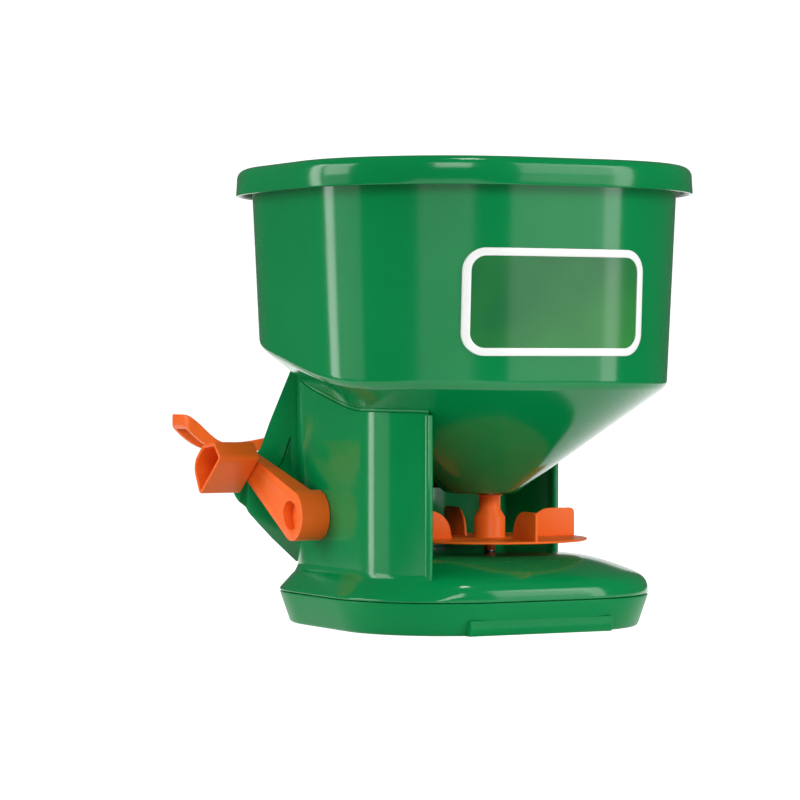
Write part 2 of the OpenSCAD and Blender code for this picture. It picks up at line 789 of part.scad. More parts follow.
// Room for the trigger and its lower arm over the whole travel
module trigger_room() {
    neck_l = paddle_start + room_reach;
    arm_l = trigger_arm + 5;
    translate([pivot_x, pivot_z]) {
        polygon([[0, 5.5], [-neck_l, 5.5], turned([-neck_l, -trigger_depth - room_gap], trigger_travel),
            turned([0, -trigger_depth - room_gap], trigger_travel)]);
        polygon([turned([-5, 0], -half_travel), turned([-5, -arm_l], -half_travel),
            turned([5, -arm_l], half_travel), turned([5, 0], half_travel)]);
        circle(pivot_hub_r + 1);
    }
    translate([link_x - rod_end_l, pin_z - rod_end_h / 2 - 1])
        square([-column_back + grip_root - link_x + rod_end_l, rod_end_h + 2]);
}

// Lays an outline of X and height upright and gives it a width along Y from y0
module upright(y0, w) {
    translate([0, y0 + w, 0]) rotate([90, 0, 0]) linear_extrude(w) children();
}

// One half of the grip on side 1 (left) or -1 (right)
module grip_half(side) {
    half = grip_t / 2;
    difference() {
        upright(side > 0 ? 0 : -half, half) grip_outline();
        at_body() translate([0, 0, -over]) linear_extrude(rim_z) diamond(column_core, column_r);
        cover_form(0, -over);
        funnel_room();
        upright(-cavity_w / 2, cavity_w) trigger_room();
        // Room for the end of the crank arm and for the knob
        if (side < 0) at_crank() translate([-crank_side, 0, arm_end_s - arm_t - arm_room]) {
            cylinder(r = crank_r + arm_end_r + arm_room, h = knob_l);
            translate([0, 0, arm_t]) cylinder(r = crank_r + knob_far + arm_room, h = knob_l);
        }
        upright(side > 0 ? half - grip_recess : -half - over, grip_recess + over)
            offset(delta = -grip_bar) grip_outline();
        translate([pivot_x, -half + pin_cap, pivot_z]) rotate([-90, 0, 0])
            cylinder(d = pivot_d + 2 * fit, h = grip_t - 2 * pin_cap);
        if (side > 0) translate([pivot_x, 0, pivot_z]) rotate([-90, 0, 0])
            cylinder(r = coil_r + leg_l + 1, h = coil_y + coil_pitch * spring_turns + wire_d);
        for (p = grip_screw_spots) translate([-(column_back + p[0]), half, p[1]]) rotate([90, 0, 0]) {
            if (side > 0) translate([0, 0, -over])
                cylinder(d = head_d + head_gap, h = head_h + head_cover + over);
            cylinder(d = screw_d + (side > 0 ? hole_gap : 2 * fit), h = grip_t - pin_cap);
        }
        for (z = mount_spots_z) translate([-mount_seat, side * mount_y, z]) rotate([0, -90, 0])
            cylinder(d = screw_d + 2 * fit, h = mount_screw_l + 1);
    }
}

module grip_right_half() color(green) grip_half(-1);

module grip_left_half() color(green) grip_half(1);

// Bushes
module crank_bush() color(nylon) at_crank() translate([-crank_side, 0, crank_bush_s])
    tube_z(crank_d + 2 * bush_wall, crank_d + 2 * fit, column_face - crank_bush_s);

module lay_upper_bush() color(nylon) translate([lay_x, lay_y, lay_bush_z])
    tube_z(lay_d + 2 * bush_wall, lay_d + 2 * fit, lay_pinion_z - run_gap - lay_bush_z);

module lay_lower_bush() color(nylon) translate([lay_x, lay_y, plate_floor])
    tube_z(lay_d + 2 * bush_wall, lay_d + 2 * fit, boss_z - plate_floor);

module spinner_upper_bush() color(nylon) translate([0, 0, dome_z - bush_drop])
    tube_z(spinner_d + 2 * bush_wall, spinner_d + 2 * fit, bush_drop);

module spinner_lower_bush() color(nylon) translate([0, 0, plate_floor])
    tube_z(spinner_d + 2 * bush_wall, spinner_d + 2 * fit, boss_z - plate_floor);

module outlet_bush() color(nylon) translate([0, 0, outlet_z])
    tube_z(spinner_d + 2 * bush_wall, spinner_d + 2 * fit, floor_t);

module idler_axle() color(steel) translate([idler_x, idler_y, plate_floor])
    cylinder(d = lay_d, h = axle_top - plate_floor);

module trigger_pivot_pin() color(steel) translate([pivot_x, -grip_t / 2 + pin_cap, pivot_z])
    rotate([-90, 0, 0]) cylinder(d = pivot_d, h = grip_t - 2 * pin_cap);

module trigger_spring() color(steel) tube(spring_path, wire_d, 6);

// Screws
module base_screws() color(steel) translate([0, 0, head_sink]) at_base_screws()
    screw_up(screw_d, base_screw_top - head_sink, head_d, head_h);

module hopper_screws() color(steel) for (p = hopper_screw_spots) translate(p) rotate([180, 0, 0])
    screw_up(screw_d, hopper_screw_l, head_d, head_h);

module grip_screws() color(steel) for (p = grip_screw_spots)
    translate([-(column_back + p[0]), grip_t / 2 - head_h - head_cover, p[1]]) rotate([90, 0, 0])
        screw_up(screw_d, grip_t - head_h - head_cover - pin_cap - 1, head_d, head_h);

module grip_mount_screws() color(steel) for (y = [-mount_y, mount_y], z = mount_spots_z)
    translate([-mount_seat, y, z]) rotate([0, -90, 0]) screw_up(screw_d, mount_screw_l, head_d, head_h);

// Crank
module crank_arm() color(orange) at_crank() difference() {
    union() {
        translate([-crank_side, 0, hub_s]) cylinder(r = crank_hub_r, h = crank_hub_l);
        hull() {
            translate([-crank_side, 0, hub_s + arm_lift])
                cylinder(r = crank_hub_r - arm_taper, h = crank_hub_l - arm_lift, $fn = hull_fn);
            translate([pin_x, pin_y, arm_end_s - arm_t]) cylinder(r = arm_end_r, h = arm_t, $fn = hull_fn);
        }
    }
    translate([-crank_side, 0, recess_s]) cylinder(r = recess_r, h = recess_l + arm_step + over);
    translate([-crank_side, 0, hub_s - over]) cylinder(d = crank_d + 2 * fit, h = crank_hub_l);
    translate([pin_x, pin_y, hub_s]) cylinder(d = rivet_d + 2 * fit, h = crank_hub_l + arm_step + over);
}

module crank_shaft() color(steel) at_crank() translate([-crank_side, 0, 0]) difference() {
    translate([0, 0, crown_back - crown_disc_t - crown_hub_l])
        cylinder(d = crank_d, h = recess_s - 0.2 - crown_back + crown_disc_t + crown_hub_l);
    translate([0, 0, recess_s - crank_screw_l - 2 * over])
        cylinder(d = crank_screw_d + 2 * fit, h = crank_screw_l + 3 * over);
    translate([0, 0, crown_pin_s]) rotate([90, 0, 0])
        cylinder(d = crown_pin_d + 2 * fit, h = 2 * crank_d, center = true);
}
crown_pin_d = 2.5;
crown_pin_s = crown_back - crown_disc_t - crown_hub_l + 3.5;

module crown_gear() color(nylon) at_crank() translate([-crank_side, 0, 0]) difference() {
    union() {
        translate([0, 0, crown_back - crown_disc_t])
            cylinder(r = crown_r + crown_w / 2 + 0.5, h = crown_disc_t);
        translate([0, 0, crown_back - crown_disc_t - crown_hub_l])
            cylinder(r = crown_hub_r, h = crown_hub_l + over);
        for (i = [0:crown_teeth - 1]) rotate(-90 + (i + 0.5) * 360 / crown_teeth)
            translate([0, 0, crown_s - crown_addendum * crown_mod])
                linear_extrude((crown_addendum + dedendum) * crown_mod + over)
                    polygon([for (p = [[-1, -1], [1, -1], [1, 1], [-1, 1]])
                        let (r = crown_r + p[0] * crown_w / 2) [r, p[1] * r * crown_tooth_share]]);
    }
    translate([0, 0, crown_back - 4 * crown_hub_l]) cylinder(d = crank_d + 2 * fit, h = 6 * crown_hub_l);
    translate([0, 0, crown_pin_s]) rotate([90, 0, 0])
        cylinder(d = crown_pin_d + 2 * fit, h = 3 * crown_hub_r, center = true);
}
crown_tooth_share = PI * crown_mod / 4 * crown_fill / crown_r;

module crown_pin() color(steel) at_crank() translate([-crank_side, 0, crown_pin_s]) rotate([90, 0, 0])
    cylinder(d = crown_pin_d, h = 2 * crown_hub_r - 1, center = true);

module crank_screw() color(steel) at_crank() translate([-crank_side, 0, recess_s]) rotate([180, 0, 0])
    screw_up(crank_screw_d, crank_screw_l, 2 * recess_r - 5, crank_screw_head);

module knob_rivet() color(steel) at_crank() translate([pin_x, pin_y, arm_end_s - arm_t]) {
    cylinder(d = rivet_d, h = tube_end_s + run_gap - arm_end_s + arm_t);
    translate([0, 0, tube_end_s + run_gap - arm_end_s + arm_t]) cylinder(r = knob_tube_r, h = rivet_head);
}

// Knob outline: a rounded drop of three circles, seen from outside
knob_circles = [[9.5, 6.5, 7], [-7, -6, 9.4], [-0.5, 3, 8.5]];
knob_far = max([for (c = knob_circles) norm([c[0], c[1]]) + c[2]]);

module knob_outline(inset) {
    hull() for (c = knob_circles) translate([c[0], c[1]]) circle(c[2] - inset, $fn = hull_fn);
}

module crank_knob() color(orange) at_crank() translate([pin_x, pin_y, knob_s]) difference() {
    union() {
        difference() {
            linear_extrude(knob_l) knob_outline(0);
            translate([0, 0, knob_floor]) linear_extrude(knob_l) knob_outline(knob_wall);
        }
        cylinder(r = knob_tube_r, h = tube_end_s - knob_s);
    }
    translate([0, 0, -over]) cylinder(d = rivet_d + 2 * fit, h = knob_l + 2 * over);
}

// Gears
module gear(teeth, mod, turn, w, bore) {
    difference() {
        rotate(turn) linear_extrude(w) polygon(gear_points(teeth, mod));
        translate([0, 0, -over]) cylinder(d = bore, h = w + 2 * over);
    }
}

module lay_shaft() color(steel) translate([lay_x, lay_y, plate_floor + 0.2])
    cylinder(d = lay_d, h = lay_pinion_z + crown_w + 2 - plate_floor);

module lay_pinion() color(nylon) translate([lay_x, lay_y, lay_pinion_z])
    gear(lay_pinion_teeth, crown_mod, 0, crown_w, lay_d + 2 * fit);

module lay_gear() color(nylon) translate([lay_x, lay_y, spur_z])
    gear(lay_teeth, spur_mod, train_turn + 180 / lay_teeth, spur_w, lay_d + 2 * fit);

module idler_gear() color(nylon) translate([idler_x, idler_y, spur_z])
    gear(idler_teeth, spur_mod, train_turn, spur_w, lay_d + 2 * fit);

module spinner_pinion() color(nylon) translate([0, 0, spur_z])
    gear(spinner_teeth, spur_mod, train_turn + 180 / spinner_teeth, spur_w, spinner_d + 2 * fit);

// Spinner
module vane_outline() {
    inner = vane_h * vane_curve;
    corner = 2.75;
    reach = disc_r - 0.4;
    polygon(concat(
        [[vane_in - 1, -disc_t / 2], [reach, -disc_t / 2]],
        arc([reach - corner, vane_h - corner], corner, 0, 90, 5),
        arc([vane_in + inner, vane_h - inner], inner, 90, 180, 7)));
}

module spinner_disc() color(orange) translate([0, 0, disc_z]) difference() {
    union() {
        rotate_extrude() polygon([
            [0, dome_z + 0.5 - disc_z], [stub_r, dome_z + 0.5 - disc_z], [stub_r, -disc_t], [disc_r, -disc_t],
            [disc_r, 0], [hub_r + 0.6, 0], [hub_r, 0.6], [hub_r, hub_h], [neck_r, hub_h + hub_cone],
            [neck_r, hub_top - 1], [neck_r + neck_lip, hub_top - 0.8], [neck_r + neck_lip, hub_top],
            [0, hub_top]]);
        for (i = [0:vane_count - 1]) rotate([90, 0, vane_turn + i * 360 / vane_count])
            translate([0, 0, -vane_t / 2 - vane_offset]) linear_extrude(vane_t) vane_outline();
    }
    translate([0, 0, -disc_z]) cylinder(d = spinner_d + 2 * fit, h = outlet_z);
}
hub_top = outlet_z - 0.8 - disc_z;
neck_lip = 1;

module spinner_shaft() color(steel) translate([0, 0, plate_floor + 0.2])
    cylinder(d = spinner_d, h = agitator_z + agitator_h + 3.4 - plate_floor);
agitator_z = rod_z + 2;
agitator_h = 7;

module agitator() color(orange) translate([0, 0, agitator_z]) difference() {
    union() {
        cylinder(r = spinner_d / 2 + 2.6, h = agitator_h);
        translate([-agitator_r, -1.1, 1]) cube([2 * agitator_r, 2.2, agitator_h - 2]);
    }
    translate([0, 0, -over]) cylinder(d = spinner_d + 2 * fit, h = agitator_h + 2 * over);
}
agitator_r = outlet_r - outlet_back - 2.5;

module agitator_nut() color(steel) translate([0, 0, agitator_z + agitator_h]) difference() {
    cylinder(d = spinner_d + 4, h = 3, $fn = 6);
    translate([0, 0, -over]) cylinder(d = spinner_d + 2 * fit, h = 3 + 2 * over);
}

// Trigger and gate
// Slants the paddle in plan, so that its left side reaches further back than its right side
module leaning() {
    multmatrix([[1, -paddle_lean, 0, 0], [0, 1, 0, 0], [0, 0, 1, 0], [0, 0, 0, 1]]) children();
}

// Plan of the paddle behind the pivot, with rounded corners at the tip
module paddle_plan(inset) {
    half = paddle_w / 2;
    for (side = [-1, 1]) translate([-paddle_reach + tip_r, side * (half - tip_r)]) circle(tip_r - inset);
    translate([-paddle_reach + tip_r, -half + inset]) square([paddle_reach - tip_r, paddle_w - 2 * inset]);
    translate([-paddle_reach + inset, -half + tip_r]) square([tip_r, paddle_w - 2 * tip_r]);
}

module trigger_lever() color(orange) translate([pivot_x, 0, pivot_z]) difference() {
    union() {
        upright(-trigger_w / 2, trigger_w) {
            circle(pivot_hub_r);
            polygon(trigger_outline(0, paddle_start + 4, 0, 0));
            rotate(-half_travel) translate([-arm_half, -trigger_arm]) square([2 * arm_half, trigger_arm]);
            rotate(-half_travel) translate([0, -trigger_arm]) circle(arm_half);
        }
        leaning() intersection() {
            upright(-paddle_w / 2, paddle_w) polygon(trigger_outline(paddle_start, paddle_reach, 0, 0));
            translate([0, 0, -paddle_reach]) linear_extrude(2 * paddle_reach) paddle_plan(0);
        }
    }
    // Hollow underside of the paddle
    leaning() intersection() {
        upright(-paddle_w / 2 + paddle_skin, paddle_w - 2 * paddle_skin)
            polygon(trigger_outline(paddle_start + 5, paddle_reach, paddle_skin, over));
        translate([0, 0, -paddle_reach]) linear_extrude(2 * paddle_reach) paddle_plan(paddle_skin);
    }
    // Fork for the rod's end
    upright(-fork_gap / 2, fork_gap) rotate(-half_travel)
        translate([-rod_end_l, -trigger_arm - rod_end_h / 2 - over])
            square([2 * rod_end_l, rod_end_h + 4 * over]);
    translate([0, -trigger_w, 0]) rotate([-90, 0, 0]) cylinder(d = pivot_d + 2 * fit, h = 2 * trigger_w);
    rotate([0, half_travel, 0]) translate([0, -trigger_w, -trigger_arm]) rotate([-90, 0, 0])
        cylinder(d = link_d + 2 * fit, h = 2 * trigger_w);
}

module link_pin() color(steel) translate([link_x, -trigger_w / 2, pin_z]) rotate([-90, 0, 0])
    cylinder(d = link_d, h = trigger_w);

module gate_slide() color(nylon) translate([0, 0, gate_z]) difference() {
    translate([-gate_back, -gate_w / 2, 0]) cube([gate_back - gate_front, gate_w, gate_t]);
    translate([-window_back, -port_w / 2, -over])
        cube([window_back - window_front, port_w, gate_t + 2 * over]);
    translate([-peg_back, 0, -over]) cylinder(d = peg_d + 2 * fit, h = gate_t + 2 * over);
}

module gate_rod() color(nylon) difference() {
    union() {
        translate([link_x, -rod_w / 2, rod_z]) cube([-link_x - peg_back + 4, rod_w, rod_h]);
        translate([-peg_back, 0, gate_z + 0.2]) cylinder(d = peg_d, h = gate_t + rod_h / 2);
        translate([link_x - rod_end_l / 2, -rod_end_t / 2, pin_z - rod_end_h / 2])
            cube([rod_end_l, rod_end_t, rod_end_h]);
    }
    // The bar stops short of the fork and leaves only the thin end
    for (side = [-1, 1]) translate([link_x - over, side > 0 ? rod_end_t / 2 : -rod_w, rod_z - over])
        cube([rod_end_l + trigger_arm * sin(trigger_travel) + 2, rod_w - rod_end_t / 2, rod_h + 2 * over]);
    translate([link_x, -rod_w, pin_z]) rotate([-90, 0, 0]) linear_extrude(2 * rod_w) {
        square([link_d + 2 * run_gap, 4], center = true);
        for (z = [-2, 2]) translate([0, z]) circle(d = link_d + 2 * run_gap);
    }
}

hopper();
outlet_plate();
housing();
bottom_plate();
chamber_wall();
label_plate();
grip_right_half();
grip_left_half();
crank_bush();
lay_upper_bush();
lay_lower_bush();
spinner_upper_bush();
spinner_lower_bush();
outlet_bush();
idler_axle();
trigger_pivot_pin();
trigger_spring();
base_screws();
hopper_screws();
grip_screws();
grip_mount_screws();
crank_arm();
crank_shaft();
crown_gear();
crown_pin();
crank_screw();
knob_rivet();
crank_knob();
lay_shaft();
lay_pinion();
lay_gear();
idler_gear();
spinner_disc();
spinner_shaft();
spinner_pinion();
agitator();
agitator_nut();
trigger_lever();
link_pin();
gate_slide();
gate_rod();
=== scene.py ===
"""Looks of the hand crank spreader: smooth shells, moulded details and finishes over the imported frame."""

import json
import logging
import math
from dataclasses import dataclass
from enum import Enum
from typing import Callable, Sequence

import bmesh
import bpy
import numpy as np
from mathutils import Matrix, Vector

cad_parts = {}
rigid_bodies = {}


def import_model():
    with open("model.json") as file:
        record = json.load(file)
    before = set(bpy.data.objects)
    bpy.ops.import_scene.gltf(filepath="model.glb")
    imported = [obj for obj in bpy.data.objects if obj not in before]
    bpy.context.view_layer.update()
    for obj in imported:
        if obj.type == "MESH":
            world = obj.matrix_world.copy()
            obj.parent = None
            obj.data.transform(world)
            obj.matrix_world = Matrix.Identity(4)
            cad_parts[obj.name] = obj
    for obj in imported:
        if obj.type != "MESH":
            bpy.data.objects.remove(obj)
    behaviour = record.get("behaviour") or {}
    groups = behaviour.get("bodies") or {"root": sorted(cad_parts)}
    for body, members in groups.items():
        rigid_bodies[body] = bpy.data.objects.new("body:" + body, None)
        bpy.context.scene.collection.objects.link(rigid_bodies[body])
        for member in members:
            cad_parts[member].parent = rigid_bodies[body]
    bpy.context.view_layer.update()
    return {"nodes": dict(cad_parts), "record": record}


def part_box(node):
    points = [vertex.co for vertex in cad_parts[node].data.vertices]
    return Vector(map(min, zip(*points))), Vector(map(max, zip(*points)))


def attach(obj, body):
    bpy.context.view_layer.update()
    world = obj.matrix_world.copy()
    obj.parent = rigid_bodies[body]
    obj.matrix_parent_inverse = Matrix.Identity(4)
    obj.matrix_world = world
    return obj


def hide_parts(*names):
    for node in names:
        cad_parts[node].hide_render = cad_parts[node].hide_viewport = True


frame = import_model()

MM = 0.001
QUARTER = math.pi / 2
HALF_ROOT = math.sqrt(0.5)
# Corners closer than these are one corner, in new meshes and in the frame's loose triangles
DOUBLE = 0.01 * MM
LOOSE = 0.004 * MM
# Edges sharper than these stay sharp, in degrees
PIECE_ANGLE = 32.0
JOIN_ANGLE = 38.0
ROUND_ANGLE = 40.0
COPY_ANGLE = 30.0
# Faces that lean less than this against each other become one, in degrees
FLAT_ANGLE = 0.6
# Socket numbers of a colour mix
MIX_DEEP = 6
MIX_COLOUR = 7
MIX_RESULT = 2
WHITE = (1.0, 1.0, 1.0, 1.0)
log = logging.getLogger("spreader")

Object = bpy.types.Object
Material = bpy.types.Material
Socket = bpy.types.NodeSocket
Colour = tuple[float, float, float, float]
Point = tuple[float, float, float]
Station = tuple[float, float, float]
Seat = tuple[Point, Point]
Circle = tuple[float, float, float]
Pair = tuple[float, float]
Spot = tuple[float, float]
Spots = tuple[Spot, ...]
Outline = list[Spot]
Rings = Sequence[Sequence[Point]]
Height = Callable[[float, float], float]


class Body(Enum):
    """Bodies of the frame that pieces ride on."""

    MAIN = "body"
    CRANK = "crank"
    KNOB = "knob"
    SPINNER = "spinner"
    TRIGGER = "trigger"


class Slot(Enum):
    """Material slots of the record, named as the finishes are."""

    GREEN = "green_plastic"
    ORANGE = "orange_plastic"
    LABEL = "label_white"
    NYLON = "nylon"
    STEEL = "steel"


class Way(Enum):
    """Ways to combine a piece with a tool shape."""

    CUT = "DIFFERENCE"
    ADD = "UNION"


# Finishes


def linear(red: int, green: int, blue: int) -> Colour:
    """Turn a display colour of 0 to 255 into linear light, by the usual display curve.

    Args:
        red: Red share.
        green: Green share.
        blue: Blue share.

    Returns:
        Linear red, green, blue and an alpha of 1.
    """

    def one(value: int) -> float:
        """Give one share in linear light."""
        share = value / 255
        return share / 12.92 if share <= 0.04045 else ((share + 0.055) / 1.055) ** 2.4

    return one(red), one(green), one(blue), 1.0


class Nodes:
    """Small helper that adds and links the nodes of one tree."""

    def __init__(self, tree: bpy.types.NodeTree) -> None:
        """Keep the tree that nodes go into."""
        self.tree = tree

    def add(self, kind: str, **values: object) -> bpy.types.Node:
        """Add a node and set its values.

        Args:
            kind: Blender's type name of the node.
            values: Property names, or input names with spaces as underscores.

        Returns:
            The new node.
        """
        node = self.tree.nodes.new(kind)
        for name, value in values.items():
            if hasattr(node, name):
                setattr(node, name, value)
            else:
                node.inputs[name.replace("_", " ")].default_value = value
        return node

    def link(self, source: Socket, target: Socket) -> None:
        """Join two sockets."""
        self.tree.links.new(source, target)

    def noise(self, place: Socket, **values: float) -> Socket:
        """Add a noise.

        Args:
            place: Coordinates that it lies on.
            values: Its input values.

        Returns:
            Its share of 0 to 1.
        """
        made = self.add("ShaderNodeTexNoise", **values)
        self.link(place, made.inputs["Vector"])
        return made.outputs["Fac"]

    def spread(self, share: Socket, **values: float) -> Socket:
        """Map a share to another range.

        Args:
            share: What is mapped.
            values: Ends of the ranges.

        Returns:
            The mapped value.
        """
        made = self.add("ShaderNodeMapRange", **values)
        self.link(share, made.inputs["Value"])
        return made.outputs["Result"]

    def tone(self, share: Socket, deep: Colour, colour: Colour) -> Socket:
        """Mix two colours.

        Args:
            share: Share of the second colour.
            deep: First colour.
            colour: Second colour.

        Returns:
            The mixed colour.
        """
        made = self.add("ShaderNodeMix", data_type="RGBA")
        made.inputs[MIX_DEEP].default_value = deep
        made.inputs[MIX_COLOUR].default_value = colour
        self.link(share, made.inputs["Factor"])
        return made.outputs[MIX_RESULT]


def new_material(name: str) -> tuple[Material, Nodes, bpy.types.NodeInputs]:
    """Start a node material.

    Args:
        name: Name of the material.

    Returns:
        The material, its nodes and the inputs of its shader.
    """
    made = bpy.data.materials.new(name)
    made.use_nodes = True
    return made, Nodes(made.node_tree), made.node_tree.nodes["Principled BSDF"].inputs


@dataclass(frozen=True)
class MouldedPlastic:
    """Injection-moulded plastic with a faint tone drift, uneven gloss and a fine skin."""

    name: str
    colour: Colour
    deep: Colour
    gloss: Pair = (0.11, 0.16)
    specular: float = 0.3
    drift_scale: float = 11.0
    drift_detail: float = 3.0
    drift_rough: float = 0.55
    drift_span: Pair = (0.32, 0.62)
    haze_finer: float = 6.0
    haze_detail: float = 4.0
    skin_scale: float = 1500.0
    skin_detail: float = 2.0
    skin_depth: float = 0.00002
    skin_strength: float = 0.12

    def material(self) -> Material:
        """Make the material.

        Returns:
            A node material on object coordinates.
        """
        made, nodes, shader = new_material(self.name)
        shader["Specular IOR Level"].default_value = self.specular
        place = nodes.add("ShaderNodeTexCoord").outputs["Object"]
        grain = {"Detail": self.drift_detail, "Roughness": self.drift_rough}
        drift = nodes.noise(place, Scale=self.drift_scale, **grain)
        share = nodes.spread(drift, From_Min=self.drift_span[0], From_Max=self.drift_span[1])
        nodes.link(nodes.tone(share, self.deep, self.colour), shader["Base Color"])
        haze = nodes.noise(place, Scale=self.drift_scale * self.haze_finer, Detail=self.haze_detail)
        nodes.link(nodes.spread(haze, To_Min=self.gloss[0], To_Max=self.gloss[1]), shader["Roughness"])
        skin = nodes.noise(place, Scale=self.skin_scale, Detail=self.skin_detail)
        bump = nodes.add("ShaderNodeBump", Strength=self.skin_strength, Distance=self.skin_depth)
        nodes.link(skin, bump.inputs["Height"])
        nodes.link(bump.outputs["Normal"], shader["Normal"])
        return made


@dataclass(frozen=True)
class BrushedSteel:
    """Bright plated steel with fine turning marks."""

    name: str
    colour: Colour
    deep: Colour
    gloss: Pair = (0.24, 0.42)
    marks_stretch: Point = (1.0, 1.0, 18.0)
    marks_scale: float = 260.0
    marks_detail: float = 3.0

    def material(self) -> Material:
        """Make the material.

        Returns:
            A metal material on object coordinates.
        """
        made, nodes, shader = new_material(self.name)
        shader["Metallic"].default_value = 1.0
        place = nodes.add("ShaderNodeTexCoord").outputs["Object"]
        stretch = nodes.add("ShaderNodeMapping", Scale=self.marks_stretch)
        nodes.link(place, stretch.inputs["Vector"])
        marks = nodes.noise(stretch.outputs["Vector"], Scale=self.marks_scale, Detail=self.marks_detail)
        nodes.link(nodes.tone(marks, self.deep, self.colour), shader["Base Color"])
        nodes.link(nodes.spread(marks, To_Min=self.gloss[0], To_Max=self.gloss[1]), shader["Roughness"])
        return made


@dataclass(frozen=True)
class Finishes:
    """All finishes of the object, made once."""

    green: Material
    orange: Material
    nylon: Material
    steel: Material
    label: Material
    field_green: Material
    base_green: Material

    @classmethod
    def make(cls) -> "Finishes":
        """Make every finish.

        Returns:
            The set of finishes.
        """
        greens = (linear(5, 130, 69), linear(0, 125, 65))
        return cls(
            green=MouldedPlastic("green_plastic", *greens).material(),
            orange=MouldedPlastic(
                "orange_plastic", linear(244, 108, 34), linear(238, 99, 28), gloss=(0.32, 0.44), specular=0.18
            ).material(),
            nylon=MouldedPlastic(
                "nylon", linear(38, 38, 40), linear(30, 30, 32), gloss=(0.4, 0.55), skin_scale=900.0
            ).material(),
            steel=BrushedSteel("steel", linear(206, 206, 210), linear(172, 173, 178)).material(),
            label=MouldedPlastic(
                "label_white", linear(244, 245, 243), linear(236, 238, 236), gloss=(0.18, 0.26), specular=0.4
            ).material(),
            field_green=MouldedPlastic(
                "label_field", linear(52, 138, 60), linear(16, 92, 58), gloss=(0.16, 0.24), drift_scale=7.0
            ).material(),
            base_green=MouldedPlastic("base_green", *greens, gloss=(0.3, 0.4), specular=0.1).material(),
        )

    def for_slot(self, slot: str) -> Material:
        """Give the finish that is named as a record slot is."""
        return getattr(self, Slot(slot).name.lower())


# Points and lines


def ease(share: float) -> float:
    """Give a soft step from 0 to 1 for a share that is held between them."""
    held = min(1.0, max(0.0, share))
    return held * held * (3 - 2 * held)


def out_from(x: float, y: float, angle: float, radius: float) -> Spot:
    """Give the point at an angle and a radius from a base point."""
    return x + radius * math.cos(angle), y + radius * math.sin(angle)


def between(start: Spot, end: Spot, share: float) -> Spot:
    """Give the point at a share of the way between two points."""
    return start[0] + (end[0] - start[0]) * share, start[1] + (end[1] - start[1]) * share


def offset(x: float, y: float, rows: Sequence[Spot]) -> Outline:
    """Set rows of offsets off a base point."""
    return [(x + aside, y + up) for aside, up in rows]


def ring_points(centre: Spot, radius: float, height: float, steps: int) -> list[Point]:
    """Give a level circle of points in millimetres."""
    return [(*out_from(*centre, 2 * math.pi * step / steps, radius), height) for step in range(steps)]


def rounded_corner(
    before: np.ndarray, corner: np.ndarray, after: np.ndarray, reach: float, steps: int
) -> list[np.ndarray]:
    """Round a corner of a path with a short curve.

    Args:
        before: Point before the corner.
        corner: The corner.
        after: Point after the corner.
        reach: How far the curve reaches along both sides, in millimetres.
        steps: Number of steps of the curve.

    Returns:
        Points of the curve.
    """
    start = corner + (before - corner) / np.linalg.norm(before - corner) * reach
    end = corner + (after - corner) / np.linalg.norm(after - corner) * reach
    shares = [step / steps for step in range(steps + 1)]
    return [(1 - u) ** 2 * start + 2 * u * (1 - u) * corner + u * u * end for u in shares]


def hull_of_circles(circles: Sequence[Circle], inset: float, steps: int) -> Outline:
    """Give the outline around circles, as a belt around pulleys.

    Args:
        circles: Centre and radius of each circle.
        inset: How much each radius shrinks.
        steps: Number of directions.

    Returns:
        Outline points, counter-clockwise.
    """
    outline: Outline = []
    for step in range(steps):
        angle = 2 * math.pi * step / steps
        way = (math.cos(angle), math.sin(angle))
        x, y, radius = max(circles, key=lambda c: c[0] * way[0] + c[1] * way[1] + c[2] - inset)
        outline.append((x + (radius - inset) * way[0], y + (radius - inset) * way[1]))
    return outline


def through(points: Sequence[Spot], steps: int) -> Outline:
    """Give a smooth line through points.

    Args:
        points: Points that the line passes.
        steps: Steps between two points.

    Returns:
        Points of the line.
    """
    rows = [np.array(point) for point in points]
    rows = [2 * rows[0] - rows[1]] + rows + [2 * rows[-1] - rows[-2]]
    line: Outline = []
    for before, start, end, after in zip(rows, rows[1:], rows[2:], rows[3:]):
        bend = 2 * before - 5 * start + 4 * end - after
        twist = 3 * start - before - 3 * end + after
        for step in range(steps):
            t = step / steps
            spot = start + 0.5 * ((end - before) * t + bend * t ** 2 + twist * t ** 3)
            line.append((float(spot[0]), float(spot[1])))
    line.append(points[-1])
    return line


# Mesh helpers


def smooth(mesh: bpy.types.Mesh, angle: float = PIECE_ANGLE) -> None:
    """Shade a mesh smooth and keep edges sharper than an angle in degrees."""
    mesh.shade_smooth()
    mesh.set_sharp_from_angle(angle=math.radians(angle))


def linked(name: str, data: bpy.types.ID) -> Object:
    """Put a new object into the scene.

    Args:
        name: Name of the object.
        data: What the object shows.

    Returns:
        The object.
    """
    made = bpy.data.objects.new(name, data)
    bpy.context.scene.collection.objects.link(made)
    return made


def finished(name: str, work: bmesh.types.BMesh, mesh: bpy.types.Mesh, angle: float) -> Object:
    """Turn a worked mesh into a smooth object.

    Args:
        name: Name of the object.
        work: Worked mesh, which is used up.
        mesh: Mesh that takes it.
        angle: Edges sharper than this angle in degrees stay sharp.

    Returns:
        The object.
    """
    work.to_mesh(mesh)
    work.free()
    smooth(mesh, angle)
    return linked(name, mesh)


